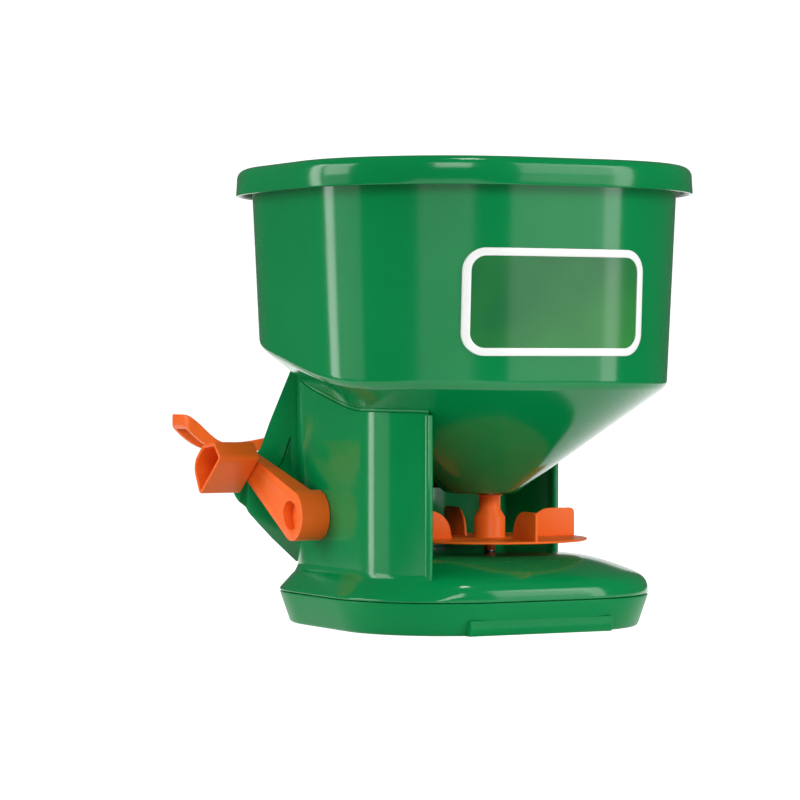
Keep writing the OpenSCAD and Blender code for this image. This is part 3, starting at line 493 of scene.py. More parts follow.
def piece_from(name: str, points: Sequence[Point], faces: Sequence[Sequence[int]]) -> Object:
    """Make an object from points in millimetres.

    Args:
        name: Name of the object.
        points: Corner points in millimetres.
        faces: Corner numbers of each face.

    Returns:
        A linked mesh object with its normals outwards.
    """
    mesh = bpy.data.meshes.new(name)
    corners = [tuple(value * MM for value in point) for point in points]
    mesh.from_pydata(corners, [], [tuple(face) for face in faces])
    work = bmesh.new()
    work.from_mesh(mesh)
    bmesh.ops.remove_doubles(work, verts=work.verts, dist=DOUBLE)
    bmesh.ops.recalc_face_normals(work, faces=work.faces)
    return finished(name, work, mesh, PIECE_ANGLE)


def loft(name: str, rings: Rings, ring_closed: bool = True, row_closed: bool = False) -> Object:
    """Skin rings of equal point count, and fill the end rings where they are closed and apart.

    Args:
        name: Name of the object.
        rings: Rings of points in millimetres, in order.
        ring_closed: Whether each ring closes on itself.
        row_closed: Whether the last ring joins the first.

    Returns:
        The skinned object.
    """
    count = len(rings[0])
    points = [point for ring in rings for point in ring]
    faces: list[list[int]] = []
    for row in range(len(rings) if row_closed else len(rings) - 1):
        here, after = row * count, (row + 1) % len(rings) * count
        for step in range(count if ring_closed else count - 1):
            turn = (step + 1) % count
            faces.append([here + step, here + turn, after + turn, after + step])
    if ring_closed and not row_closed:
        faces.append(list(range(count)))
        faces.append([(len(rings) - 1) * count + step for step in range(count)])
    return piece_from(name, points, faces)


def turned(
    name: str, rows: Sequence[Spot], steps: int, centre: Spot = (0.0, 0.0), closed: bool = False
) -> Object:
    """Turn rows of radius and height about an upright axis.

    Args:
        name: Name of the object.
        rows: Radius and height of each row in millimetres.
        steps: Steps of the turn.
        centre: Place of the axis in plan.
        closed: Whether the last row joins the first.

    Returns:
        The turned object.
    """
    return loft(name, [ring_points(centre, *row, steps) for row in rows], row_closed=closed)


def box_piece(name: str, low: Vector, high: Vector) -> Object:
    """Make a box.

    Args:
        name: Name of the object.
        low: Lowest corner in metres.
        high: Highest corner in metres.

    Returns:
        The box.
    """
    ends = [(low[axis] / MM, high[axis] / MM) for axis in range(3)]
    corners = [(x, y, z) for z in ends[2] for y in ends[1] for x in ends[0]]
    faces = [[0, 2, 3, 1], [4, 5, 7, 6], [0, 1, 5, 4], [2, 6, 7, 3], [0, 4, 6, 2], [1, 3, 7, 5]]
    return piece_from(name, corners, faces)


def bake(piece: Object) -> Object:
    """Turn a piece with modifiers into a plain mesh.

    Args:
        piece: Object whose modifiers are applied and removed.

    Returns:
        The same object with its new mesh.
    """
    bpy.context.view_layer.update()
    graph = bpy.context.evaluated_depsgraph_get()
    mesh = bpy.data.meshes.new_from_object(piece.evaluated_get(graph))
    mesh.name = piece.name
    piece.modifiers.clear()
    piece.data = mesh
    return piece


def combine(piece: Object, tool: Object, way: Way = Way.CUT) -> Object:
    """Combine a piece with a tool shape and remove the tool.

    Args:
        piece: Object that stays.
        tool: Object that is used up.
        way: Kind of the combination.

    Returns:
        The changed piece.
    """
    step = piece.modifiers.new("shape", "BOOLEAN")
    step.operation = way.value
    step.solver = "EXACT"
    step.object = tool
    bake(piece)
    bpy.data.objects.remove(tool)
    smooth(piece.data)
    return piece


def round_edges(piece: Object, width: float, angle: float, segments: int = 3) -> Object:
    """Round the edges of a piece that are sharper than an angle.

    Args:
        piece: Object to change.
        width: Width of the rounding in millimetres.
        angle: Least angle of an edge in degrees.
        segments: Steps of the rounding.

    Returns:
        The changed piece.
    """
    step = piece.modifiers.new("rounding", "BEVEL")
    step.width = width * MM
    step.segments = segments
    step.limit_method = "ANGLE"
    step.angle_limit = math.radians(angle)
    step.use_clamp_overlap = True
    bake(piece)
    smooth(piece.data, ROUND_ANGLE)
    return piece


def join(name: str, pieces: Sequence[Object]) -> Object:
    """Gather several objects in one mesh.

    Args:
        name: Name of the result.
        pieces: Objects that are used up.

    Returns:
        The joined object.
    """
    work = bmesh.new()
    for piece in pieces:
        work.from_mesh(piece.data)
        bpy.data.objects.remove(piece)
    return finished(name, work, bpy.data.meshes.new(name), JOIN_ANGLE)


def merged(node: str) -> bmesh.types.BMesh:
    """Open a frame node's mesh with its loose triangles joined.

    Args:
        node: Name of the frame node.

    Returns:
        The opened mesh.
    """
    work = bmesh.new()
    work.from_mesh(frame["nodes"][node].data)
    bmesh.ops.remove_doubles(work, verts=work.verts, dist=LOOSE)
    return work


def merged_copy(node: str, name: str) -> Object:
    """Copy a frame node with its loose triangles joined and flat areas made whole.

    Args:
        node: Name of the frame node.
        name: Name of the copy.

    Returns:
        The copy, at the same place.
    """
    work = merged(node)
    bmesh.ops.dissolve_limit(
        work, angle_limit=math.radians(FLAT_ANGLE), verts=work.verts, edges=work.edges, delimit={"NORMAL"}
    )
    return finished(name, work, bpy.data.meshes.new(name), COPY_ANGLE)


# Shells


@dataclass(frozen=True)
class DiamondPlan:
    """Rounded square that stands on a corner, with the sizes in millimetres."""

    core: float
    centre_x: float = -15.4
    arc_steps: int = 20
    flat_steps: int = 10

    def stations(self) -> list[Station]:
        """Give places around the plan.

        Returns:
            The base point that a radius starts from and the outward angle, for each place.
        """
        reach = self.core * math.sqrt(2)
        found: list[Station] = []
        for corner in range(4):
            middle = corner * QUARTER
            base = out_from(self.centre_x, 0.0, middle, reach)
            following = out_from(self.centre_x, 0.0, middle + QUARTER, reach)
            for step in range(self.arc_steps):
                found.append((*base, middle - QUARTER / 2 + QUARTER * step / self.arc_steps))
            for step in range(self.flat_steps):
                found.append((*between(base, following, step / self.flat_steps), middle + QUARTER / 2))
        return found

    def away(self, x: float, y: float) -> float:
        """Give the distance of a place in plan from the core square.

        Args:
            x: Place along X.
            y: Place along Y.

        Returns:
            The distance, or 0 inside the square.
        """
        across = abs((x - self.centre_x + y) * HALF_ROOT) - self.core
        along = abs((y - x + self.centre_x) * HALF_ROOT) - self.core
        return math.hypot(max(across, 0.0), max(along, 0.0))

    def ring(self, radius: float, height: float) -> list[Point]:
        """Give the plan at a corner radius and a height."""
        return [(*out_from(*station, radius), height) for station in self.stations()]


@dataclass
class ColumnSheet:
    """Upright sheet that follows the column's plan between its two free edges, in millimetres."""

    core: float = 32.8
    centre_x: float = -15.4
    outer: float = 47.0
    wall: float = 3.0
    lip: float = 0.6
    near_edge: float = -6.6
    far_edge: float = 15.0
    arc_steps: int = 26
    flat_steps: int = 8

    def path(self) -> list[Station]:
        """Give places from the near edge round the back to the far edge.

        Returns:
            Base point and outward angle of each place.
        """
        reach = self.core * math.sqrt(2)
        middle = self.outer - self.wall / 2
        near = -math.acos((self.near_edge - self.centre_x) / middle)
        far = math.acos((self.far_edge - self.centre_x) / middle)
        corners = [(self.centre_x, -reach), (self.centre_x - reach, 0.0), (self.centre_x, reach)]
        turns = [(near, -1.5 * QUARTER), (2.5 * QUARTER, 1.5 * QUARTER), (1.5 * QUARTER, far)]
        found: list[Station] = []
        for corner, following, (start, end) in zip(corners, corners[1:] + [None], turns):
            for step in range(self.arc_steps + 1):
                found.append((*corner, start + (end - start) * step / self.arc_steps))
            if following is not None:
                for step in range(1, self.flat_steps):
                    found.append((*between(corner, following, step / self.flat_steps), end))
        return found

    def sweep(self, name: str, section: Sequence[tuple[float, Height, float]]) -> Object:
        """Carry a section along the path.

        Args:
            name: Name of the piece.
            section: Radius, base height at X and Y, and lift over it, for each point.

        Returns:
            The swept piece.
        """
        rings: list[list[Point]] = []
        for station in self.path():
            ring: list[Point] = []
            for radius, base, lift in section:
                x, y = out_from(*station, radius)
                ring.append((x, y, base(x, y) + lift))
            rings.append(ring)
        return loft(name, rings)

    def build(self, name: str, low: Height, high: Height) -> Object:
        """Build the sheet between two heights.

        Args:
            name: Name of the piece.
            low: Height of the lower edge at X and Y.
            high: Height of the upper edge at X and Y.

        Returns:
            The sheet.
        """
        lip, outer, inner = self.lip, self.outer, self.outer - self.wall
        section = [(outer - lip, low, 0.0), (outer, low, lip), (outer, high, -lip), (outer - lip, high, 0.0)]
        section += [(inner + lip, high, 0.0), (inner, high, -lip), (inner, low, lip), (inner + lip, low, 0.0)]
        return self.sweep(name, section)

    def edge_places(self) -> Outline:
        """Give the middle of the sheet at its two free edges."""
        path = self.path()
        return [out_from(*station, self.outer - self.wall / 2) for station in (path[0], path[-1])]


@dataclass
class Hopper:
    """Open bowl with a rolled rim, drafted walls and a funnel, in millimetres."""

    pads: tuple[Point, ...]
    plan: DiamondPlan = DiamondPlan(26.0)
    rim_z: float = 249.0
    rim_low: float = 234.0
    rim_out: float = 9.0
    rim_wall: float = 2.2
    rim_lean: float = 0.5
    shoulder: float = 5.5
    shoulder_step: int = 15
    edge_z: float = 130.0
    edge_rise: float = 24.5
    edge_power: float = 1.2
    edge_r: float = 76.0
    edge_round: float = 3.6
    edge_steps: int = 7
    inner_round: float = 0.6
    inner_steps: int = 4
    draft: float = 2.75
    wall: float = 2.5
    inner_lift: float = 1.3
    outlet_x: float = -5.0
    outlet_r: float = 19.5
    outlet_z: float = 71.5
    outlet_soft: Pair = (0.02, 0.06)
    floor_z: float = 74.0
    floor_r: float = 18.7
    plate_seat: tuple[float, float, float] = (16.5, 18.1, 73.0)
    collar: float = 1.0
    collar_root: float = 0.8
    pad_r: Pair = (5.2, 4.8)
    pad_soft: float = 0.5
    pad_steps: int = 32
    slot_room: float = 0.3
    slot_drop: float = 0.15
    slot_ahead: float = 8.0
    # Roundings as offsets from a radius and a height: the mouth, the rim's lower edge and the fold under it
    mouth: Spots = ((-0.2, -45.0), (0.0, -0.9), (0.3, -0.2), (0.9, 0.0))
    rim_edge: Spots = ((0.0, 0.7), (-0.3, 0.15), (-0.8, 0.0))
    rim_inside: Spots = ((0.5, 0.0), (0.0, 0.6))
    rim_fold: Spots = ((-0.4, -3.3), (-1.4, -0.9), (-3.6, 0.0))
    wall_fold: Spots = ((2.0, 0.0), (0.4, -0.6))
    fold_low: float = 2.2

    def radius(self, height: float) -> float:
        """Give the corner radius of the outside at a height."""
        return self.edge_r + (height - self.edge_z) * math.tan(math.radians(self.draft))

    def edge_height(self, x: float, y: float) -> float:
        """Give the height of the funnel's edge, which rises to the back."""
        turn = abs(math.atan2(y, x - self.plan.centre_x))
        return self.edge_z + self.edge_rise * ease((turn - QUARTER) / QUARTER) ** self.edge_power

    def edge_point(self, station: Station, inset: float, lift: float) -> np.ndarray:
        """Give the point of the funnel's edge at a place around the plan."""
        height = self.edge_height(*out_from(*station, self.edge_r)) + lift
        return np.array([*out_from(*station, self.radius(height) - inset), height])

    def outlet_point(self, edge: np.ndarray, radius: float, height: float) -> np.ndarray:
        """Give the point of a circle around the outlet that lies under an edge point."""
        turn = math.atan2(edge[1], edge[0] - self.outlet_x)
        return np.array([*out_from(self.outlet_x, 0.0, turn, radius), height])

    def funnel_height(self) -> Height:
        """Prepare the height of the funnel's underside.

        Returns:
            A function of X and Y in millimetres.
        """
        edges = [self.edge_point(station, 0.0, 0.0) for station in self.plan.stations()]
        spans = [(x - self.outlet_x, y, z) for x, y, z in edges]
        rows = sorted((math.atan2(y, x), math.hypot(x, y), z) for x, y, z in spans)
        turns, reaches, heights = np.array(rows).T

        def height(x: float, y: float) -> float:
            """Give the underside's height.

            Args:
                x: Place along X.
                y: Place along Y.

            Returns:
                The height in millimetres.
            """
            turn = math.atan2(y, x - self.outlet_x)
            away = math.hypot(x - self.outlet_x, y)
            reach = float(np.interp(turn, turns, reaches, period=2 * math.pi))
            top = float(np.interp(turn, turns, heights, period=2 * math.pi))
            share = (away - self.outlet_r) / (reach - self.outlet_r)
            return self.outlet_z + (top - self.outlet_z) * share

        return height

    def profile(self, station: Station) -> list[Point]:
        """Give the wall's whole section at one place around the plan.

        Args:
            station: Base point and outward angle.

        Returns:
            Points from the outlet up the inside, over the rim and down the outside.
        """

        def at(radius: float, height: float) -> np.ndarray:
            """Give the point at a corner radius and height."""
            return np.array([*out_from(*station, radius), height])

        def run(radius: float, height: float, rows: Spots) -> list[np.ndarray]:
            """Give the points at offsets from a corner radius and height."""
            return [at(*spot) for spot in offset(radius, height, rows)]

        inner = self.edge_point(station, self.wall, self.inner_lift)
        outer = self.edge_point(station, 0.0, 0.0)
        top_in = self.radius(self.rim_z) - self.wall
        bore, seat, seat_z = self.plate_seat
        spots = ((bore, self.outlet_z), (bore, seat_z), (seat, seat_z), (seat, self.floor_z))
        path = [self.outlet_point(inner, *spot) for spot in spots]
        foot = self.outlet_point(inner, self.floor_r, self.floor_z)
        path += [foot, (foot + inner) / 2]
        reach = self.edge_round * self.inner_round
        path += rounded_corner(foot, inner, at(top_in, self.rim_z), reach, self.inner_steps)
        path += run(top_in, self.rim_z, self.mouth)
        out = self.radius(self.rim_low) + self.rim_out
        middle = (out - self.rim_lean - self.shoulder, self.rim_z - self.shoulder)
        for turn in range(90, -1, -self.shoulder_step):
            path.append(at(*out_from(*middle, math.radians(turn), self.shoulder)))
        path += run(out, self.rim_low, self.rim_edge)
        path += run(out - self.rim_wall, self.rim_low, self.rim_inside)
        under = self.rim_z - self.rim_wall
        path += run(out - self.rim_wall, under, self.rim_fold)
        path += run(self.radius(under), under, self.wall_fold)
        path.append(at(self.radius(under - self.fold_low), under - self.fold_low))
        rest = self.outlet_point(outer, self.outlet_r, self.outlet_z)
        path += rounded_corner(at(self.radius(under), under), outer, rest, self.edge_round, self.edge_steps)
        up, aside = self.outlet_soft
        path += [(rest + outer) / 2, rest + (outer - rest) * up, rest - (rest - path[0]) * aside]
        return [tuple(point) for point in path]

    def gate_slot(self) -> Object:
        """Build the room that the gate slides in.

        Returns:
            The shape to cut out.
        """
        low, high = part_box("gate_slide")
        room = self.slot_room * MM
        below = Vector((room, room, self.slot_drop * MM))
        return box_piece("gate_slot", low - below, high + Vector((self.slot_ahead * MM, room, room)))

    def build(self, sheet: ColumnSheet) -> Object:
        """Build the bowl with its collar, screw pads and gate slot.

        Args:
            sheet: Sheet that the short collar under the funnel follows.

        Returns:
            The hopper piece.
        """
        sections = [self.profile(station) for station in self.plan.stations()]
        shell = loft("hopper_shell", list(zip(*sections)), row_closed=True)
        combine(shell, self.gate_slot())
        height = self.funnel_height()
        collar = sheet.build(
            "hopper_collar",
            lambda x, y: height(x, y) - self.collar,
            lambda x, y: height(x, y) + self.collar_root,
        )
        parts = [shell, collar]
        for x, y, top in self.pads:
            rows = [(self.pad_r[0], height(x, y)), (self.pad_r[0], top - self.pad_soft), (self.pad_r[1], top)]
            parts.append(turned("pad", rows, self.pad_steps, (x, y)))
        return join("hopper_bowl", parts)


@dataclass
class Housing:
    """Column and domed base cover in one moulding, in millimetres."""

    hopper: Hopper
    sheet: ColumnSheet
    plan: DiamondPlan = DiamondPlan(27.5)
    seam_r: float = 64.0
    seam_z: float = 17.5
    seam_gap: float = 0.15
    seam_edge: Spots = ((-1.2, 0.1), (-0.5, 0.15))
    dome_profile: Spots = (
        (63.9, 17.9), (64.0, 19.2), (63.7, 21.6), (62.6, 24.4), (60.4, 27.0), (57.2, 29.0), (52.4, 31.0),
        (46.0, 33.3), (38.7, 35.6), (31.0, 37.5), (23.0, 38.7), (12.0, 39.3),
    )
    slope_profile: Spots = (
        (63.9, 17.9), (64.0, 18.5), (63.3, 19.7), (61.6, 21.6), (59.2, 24.2), (56.8, 26.8), (54.0, 29.4),
        (50.0, 31.6), (44.0, 33.8), (36.0, 36.2), (24.0, 38.6), (12.0, 39.3),
    )
    profile_steps: int = 4
    window: Pair = (-79.0, 48.0)
    blend: float = 16.0
    fillet: float = 2.6
    fillet_steps: int = 7
    fillet_sink: Pair = (0.02, 0.05)
    fillet_root: Pair = (1.0, 0.6)
    column_foot: float = 3.0
    bead: float = 2.2
    bead_steps: int = 28
    bead_soft: Spots = ((0.0, -0.7), (-0.25, -0.2), (-0.8, 0.0))

    def slope_share(self, angle: float) -> float:
        """Give 1 where the column stands and the cover slopes, and 0 in the open window.

        Args:
            angle: Outward angle in plan.

        Returns:
            The share of the slope.
        """
        turn = (math.degrees(angle) + 180) % 360 - 180
        inside = min(turn - self.window[0], self.window[1] - turn)
        return 1 - ease(inside / self.blend)

    def dome(self) -> Object:
        """Build the cover, domed in the window and sloping under the column.

        Returns:
            The cover.
        """
        rings = [self.plan.ring(*spot) for spot in offset(self.seam_r, self.seam_z, self.seam_edge)]
        stations = self.plan.stations()
        lines = [through(profile, self.profile_steps) for profile in (self.dome_profile, self.slope_profile)]
        for round_spot, slope_spot in zip(*lines):
            ring: list[Point] = []
            for station in stations:
                radius, height = between(round_spot, slope_spot, self.slope_share(station[2]))
                ring.append((*out_from(*station, radius), height))
            rings.append(ring)
        return loft("cover_dome", rings)

    def dome_height(self, x: float, y: float) -> float:
        """Give the height of the sloping cover at a place in plan."""
        reaches, heights = zip(*sorted(self.slope_profile))
        return float(np.interp(self.plan.away(x, y), reaches, heights))

    def foot_fillet(self) -> Object:
        """Build the soft fillet where the column stands on the cover.

        Returns:
            The fillet.
        """
        outer, (aside, down), (root, drop) = self.sheet.outer, self.fillet_sink, self.fillet_root
        section: list[tuple[float, Height, float]] = []
        for step in range(self.fillet_steps + 1):
            turn = QUARTER * step / self.fillet_steps
            radius = outer + self.fillet * (1 - math.cos(turn)) - aside
            section.append((radius, self.dome_height, self.fillet * (1 - math.sin(turn)) - down))
        section += [(outer + self.fillet, self.dome_height, -drop), (outer - root, self.dome_height, -drop)]
        return self.sheet.sweep("fillet", section)

    def build(self) -> Object:
        """Build the moulding.

        Returns:
            The housing piece.
        """
        height = self.hopper.funnel_height()
        foot = self.seam_z + self.column_foot
        drop = self.hopper.collar + self.seam_gap
        column = self.sheet.build("column", lambda x, y: foot, lambda x, y: height(x, y) - drop)
        parts = [self.dome(), column, self.foot_fillet()]
        for place in self.sheet.edge_places():
            rows = [(self.bead, foot)] + offset(self.bead, height(*place) - drop, self.bead_soft)
            parts.append(turned("bead", rows, self.bead_steps, place))
        return join("housing_shell", parts)


@dataclass
class BottomPlate:
    """Tray under the seam with two flat foot panels, in millimetres."""

    plan: DiamondPlan = DiamondPlan(27.5)
    foot_r: float = 58.6
    foot_edge: Spots = ((-1.6, 0.0), (-0.9, 0.25), (-0.2, 1.0), (0.1, 1.8))
    seam_r: float = 64.0
    seam_z: float = 17.5
    seam_edge: Spots = ((-0.25, -1.1), (-0.4, -0.45), (-1.0, -0.15))
    panel_w: Pair = (86.0, 70.0)
    panel_soft: float = 0.4
    panel_profile: Spots = (
        (55.5, 0.0), (60.2, 0.0), (60.6, 0.5), (61.5, 3.8), (61.4, 4.3), (60.9, 8.0), (55.5, 8.0),
    )
    recess_reach: float = 78.99
    recess: Spots = ((3.3, -1.0), (3.3, 3.0))
    recess_steps: int = 32

    def panel(self, side: int) -> Object:
        """Build the foot panel on one front face.

        Args:
            side: Minus 1 for the face under the badge and 1 for the one on the far side.

        Returns:
            The panel.
        """
        angle = side * QUARTER / 2
        half, soft = self.panel_w[side > 0] / 2, self.panel_soft
        rings: list[list[Point]] = []
        for along, shrink in ((-half, soft), (-half + soft, 0.0), (half - soft, 0.0), (half, soft)):
            base = out_from(self.plan.centre_x, 0.0, angle + QUARTER, along)
            rows = offset(self.plan.core - shrink, 0.0, self.panel_profile)
            rings.append([(*out_from(*base, angle, out), height) for out, height in rows])
        return loft("panel", rings)

    def build(self) -> Object:
        """Build the tray, its panels and its screw recesses.

        Returns:
            The bottom plate piece.
        """
        rows = offset(self.foot_r, 0.0, self.foot_edge) + offset(self.seam_r, self.seam_z, self.seam_edge)
        tray = loft("tray", [self.plan.ring(*row) for row in rows])
        for turn in range(4):
            spot = out_from(self.plan.centre_x, 0.0, turn * QUARTER, self.recess_reach)
            combine(tray, turned("recess", self.recess, self.recess_steps, spot))
        return join("bottom_tray", [tray] + [self.panel(side) for side in (-1, 1)])


@dataclass
class Badge:
    """Blank badge on the front right wall: a raised white frame round a green field, in millimetres."""

    hopper: Hopper
    width: float = 108.0
    height: float = 56.0
    corner: float = 12.0
    corner_steps: int = 12
    middle_z: float = 174.0
    sunk: float = -0.3
    frame_w: float = 4.2
    proud: float = 1.2
    outer_edge: Spots = ((0.0, -0.45), (0.15, -0.12), (0.5, 0.0))
    inner_edge: Spots = ((-0.5, 0.0), (-0.1, -0.2), (0.0, -0.6))
    field_off: float = 0.45
    field_under: float = 0.3
    field_steps: tuple[int, int] = (72, 28)

    def on_wall(self, u: float, v: float, off: float) -> Point:
        """Give a point on the hopper's wall.

        Args:
            u: Place across the badge.
            v: Place up the badge.
            off: Distance from the wall.

        Returns:
            The point in millimetres.
        """
        plan = self.hopper.plan
        radius = self.hopper.radius(self.middle_z + v) + off
        past = max(0.0, abs(u) - plan.core)
        away = plan.core + math.sqrt(radius * radius - past * past)
        return plan.centre_x + (u + away) * HALF_ROOT, (u - away) * HALF_ROOT, self.middle_z + v

    def outline(self, inset: float) -> Outline:
        """Give the rounded rectangle.

        Args:
            inset: Distance that it is set in by.

        Returns:
            Points across and up the badge.
        """
        radius, steps = self.corner - inset, self.corner_steps
        half_w = self.width / 2 - self.corner
        half_h = self.height / 2 - self.corner
        middles = [(half_w, half_h), (-half_w, half_h), (-half_w, -half_h), (half_w, -half_h)]
        points: Outline = []
        for index, middle in enumerate(middles):
            for step in range(steps + 1):
                points.append(out_from(*middle, QUARTER * (index + step / steps), radius))
            start = points[-1]
            end = out_from(*middles[(index + 1) % 4], QUARTER * (index + 1), radius)
            points += [between(start, end, step / steps) for step in range(1, steps)]
        return points

    def build_frame(self) -> Object:
        """Build the raised frame.

        Returns:
            The frame piece.
        """
        rows = [(0.0, self.sunk)] + offset(0.0, self.proud, self.outer_edge)
        rows += offset(self.frame_w, self.proud, self.inner_edge) + [(self.frame_w, self.sunk)]
        rings = [[self.on_wall(u, v, off) for u, v in self.outline(inset)] for inset, off in rows]
        return loft("badge_frame", rings, row_closed=True)

    def build_field(self) -> Object:
        """Build the plain field inside the frame.

        Returns:
            The field piece.
        """
        across, up = self.field_steps
        half_w = self.width / 2 - self.frame_w + self.field_under
        half_h = self.height / 2 - self.frame_w + self.field_under
        radius = self.corner - self.frame_w
        rings: list[list[Point]] = []
        for column in range(across + 1):
            u = -half_w + 2 * half_w * column / across
            past = max(0.0, abs(u) - (half_w - radius))
            reach = half_h - radius + math.sqrt(max(0.0, radius * radius - past * past))
            rows = [reach * (2 * row / up - 1) for row in range(up + 1)]
            rings.append([self.on_wall(u, v, self.field_off) for v in rows])
        return loft("badge_field", rings, ring_closed=False)


# Crank and trigger


@dataclass(frozen=True)
class CrankFrame:
    """Frame of the crank: X runs along the face to the front, Y is up and S is out of the face."""

    height: float = 60.0
    axis: Spot = (-26.8, 0.0)
    pin: Spot = (-75.36, 25.82)

    def place(self, x: float, y: float, s: float) -> Point:
        """Give the point in the row frame, in millimetres."""
        return (x - s) * HALF_ROOT, -(x + s) * HALF_ROOT, self.height + y

    def circle(self, centre: Spot, radius: float, s: float, steps: int) -> list[Point]:
        """Give a circle across the axis."""
        return [self.place(x, y, s) for x, y, _ in ring_points(centre, radius, 0.0, steps)]


@dataclass
class CrankArm:
    """Tapered arm with a round hub and a recess, in millimetres."""

    base: CrankFrame = CrankFrame()
    hub_r: float = 13.75
    hub_s: float = 91.09
    hub_end: float = 107.39
    hub_low: float = 0.05
    recess_r: float = 8.0
    recess_s: float = 99.39
    bar_in: float = 0.1
    bar_low: float = 0.02
    end_r: float = 7.0
    end_s: float = 111.99
    end_t: float = 6.0
    root_s: float = 96.1
    bore_r: float = 3.05
    past_end: float = 2.0
    plug_s: Pair = (102.8, 103.6)
    plug_in: float = 0.02
    soft: float = 1.1
    soft_angle: float = 40.0
    bar_steps: int = 144
    tube_steps: int = 72

    def tube(self, name: str, centre: Spot, radius: float, start: float, end: float) -> Object:
        """Build a round bar along the crank's axis."""
        return loft(name, [self.base.circle(centre, radius, s, self.tube_steps) for s in (start, end)])

    def bar(self) -> Object:
        """Build the tapered bar from the hub to the knob's pin.

        Returns:
            The bar.
        """
        axis, pin = self.base.axis, self.base.pin
        span = math.hypot(pin[0] - axis[0], pin[1])
        way = ((pin[0] - axis[0]) / span, pin[1] / span)
        circles = [(*axis, self.hub_r - self.bar_in), (*pin, self.end_r)]
        back: list[Point] = []
        front: list[Point] = []
        for x, y in hull_of_circles(circles, 0.0, self.bar_steps):
            share = min(1.0, max(0.0, ((x - axis[0]) * way[0] + y * way[1]) / span))
            back.append(self.base.place(x, y, self.root_s + (self.end_s - self.end_t - self.root_s) * share))
            top = self.hub_end - self.bar_low + (self.end_s - self.hub_end) * share
            front.append(self.base.place(x, y, top))
        return loft("crank_bar", [back, front])

    def build(self) -> Object:
        """Build the arm.

        Returns:
            The arm piece.
        """
        axis, past = self.base.axis, self.end_s + self.past_end
        arm = self.bar()
        combine(arm, self.tube("hub", axis, self.hub_r, self.hub_s, self.hub_end - self.hub_low), Way.ADD)
        combine(arm, self.tube("recess", axis, self.recess_r, self.recess_s, past))
        combine(arm, self.tube("bore", self.base.pin, self.bore_r, self.hub_s, past))
        round_edges(arm, self.soft, self.soft_angle)
        plug = self.tube("plug", axis, self.recess_r - self.plug_in, *self.plug_s)
        return join("crank_bar", [arm, plug])


@dataclass
class CrankKnob:
    """Hollow knob of an uneven outline that turns on the arm, in millimetres."""

    base: CrankFrame = CrankFrame()
    start: float = 112.29
    end: float = 136.29
    wall: float = 2.0
    floor: float = 3.0
    tube_r: float = 4.8
    tube_end: float = 118.3
    bore_r: float = 3.05
    cap: float = 2.9
    cap_r: float = 5.7
    cap_root: Pair = (3.0, 1.6)
    cap_soft: float = 0.5
    cap_skin: float = 0.7
    cap_room: float = 0.2
    cap_middle: float = 0.02
    rivet_r: float = 3.0
    rivet_s: float = 106.99
    rivet_gap: float = 0.3
    rivet_head: float = 1.6
    rivet_soft: Pair = (0.8, 0.4)
    steps: int = 160
    circles: tuple[Circle, ...] = (
        (9.8, 10.2, 3.0), (15.2, 5.0, 2.8), (-7.8, -12.1, 3.2), (-7.4, -1.6, 8.8), (-1.6, 3.6, 8.4),
    )
    # Roundings as offsets of inset and place along the axis
    back_edge: Spots = ((1.2, 0.0), (0.35, 0.3), (0.0, 1.1))
    mouth_edge: Spots = ((0.0, -0.8), (0.2, -0.2), (0.7, 0.0))
    wall_edge: Spots = ((-0.5, 0.0), (0.0, -0.5))
    floor_edge: Spots = ((0.0, 0.5), (0.6, 0.0))

    def ring(self, inset: float, s: float) -> list[Point]:
        """Give the outline, set in by a distance, at a place along the axis."""
        outline = hull_of_circles(self.circles, inset, self.steps)
        return [self.base.place(self.base.pin[0] + x, self.base.pin[1] + y, s) for x, y in outline]

    def round_rings(self, rows: Sequence[Spot]) -> list[list[Point]]:
        """Give circles round the pin from rows of radius and place along the axis."""
        return [self.base.circle(self.base.pin, *row, self.steps) for row in rows]

    def build(self) -> Object:
        """Build the knob.

        Returns:
            The knob piece.
        """
        floor_s = self.start + self.floor
        edges = offset(0.0, self.start, self.back_edge) + offset(0.0, self.end, self.mouth_edge)
        edges += offset(self.wall, self.end, self.wall_edge) + offset(self.wall, floor_s, self.floor_edge)
        cap_s = self.tube_end + self.cap
        skin_s = cap_s - self.cap_skin
        inside = self.tube_r + self.cap_room
        tube = [(self.tube_r, floor_s), (self.tube_r, self.tube_end - self.cap_root[0])]
        tube += [(self.cap_r, self.tube_end - self.cap_root[1]), (self.cap_r, cap_s - self.cap_soft)]
        tube += [(self.cap_r - self.cap_soft, cap_s), (self.cap_middle, cap_s), (self.cap_middle, skin_s)]
        tube += [(inside, skin_s), (inside, self.tube_end), (self.bore_r, self.tube_end)]
        rings = self.round_rings([(self.bore_r, self.start)])
        rings += [self.ring(*edge) for edge in edges] + self.round_rings(tube)
        return loft("knob_shell", rings, row_closed=True)

    def rivet(self) -> Object:
        """Build the rivet that the knob turns on, with its head under the tube's cap.

        Returns:
            The rivet piece.
        """
        head = self.tube_end + self.rivet_gap
        top = head + self.rivet_head
        rows = [(self.rivet_r, self.rivet_s), (self.rivet_r, head), (self.tube_r, head)]
        rows += [(self.tube_r, top - self.rivet_soft[1]), (self.tube_r - self.rivet_soft[0], top)]
        return loft("rivet_pin", self.round_rings(rows))


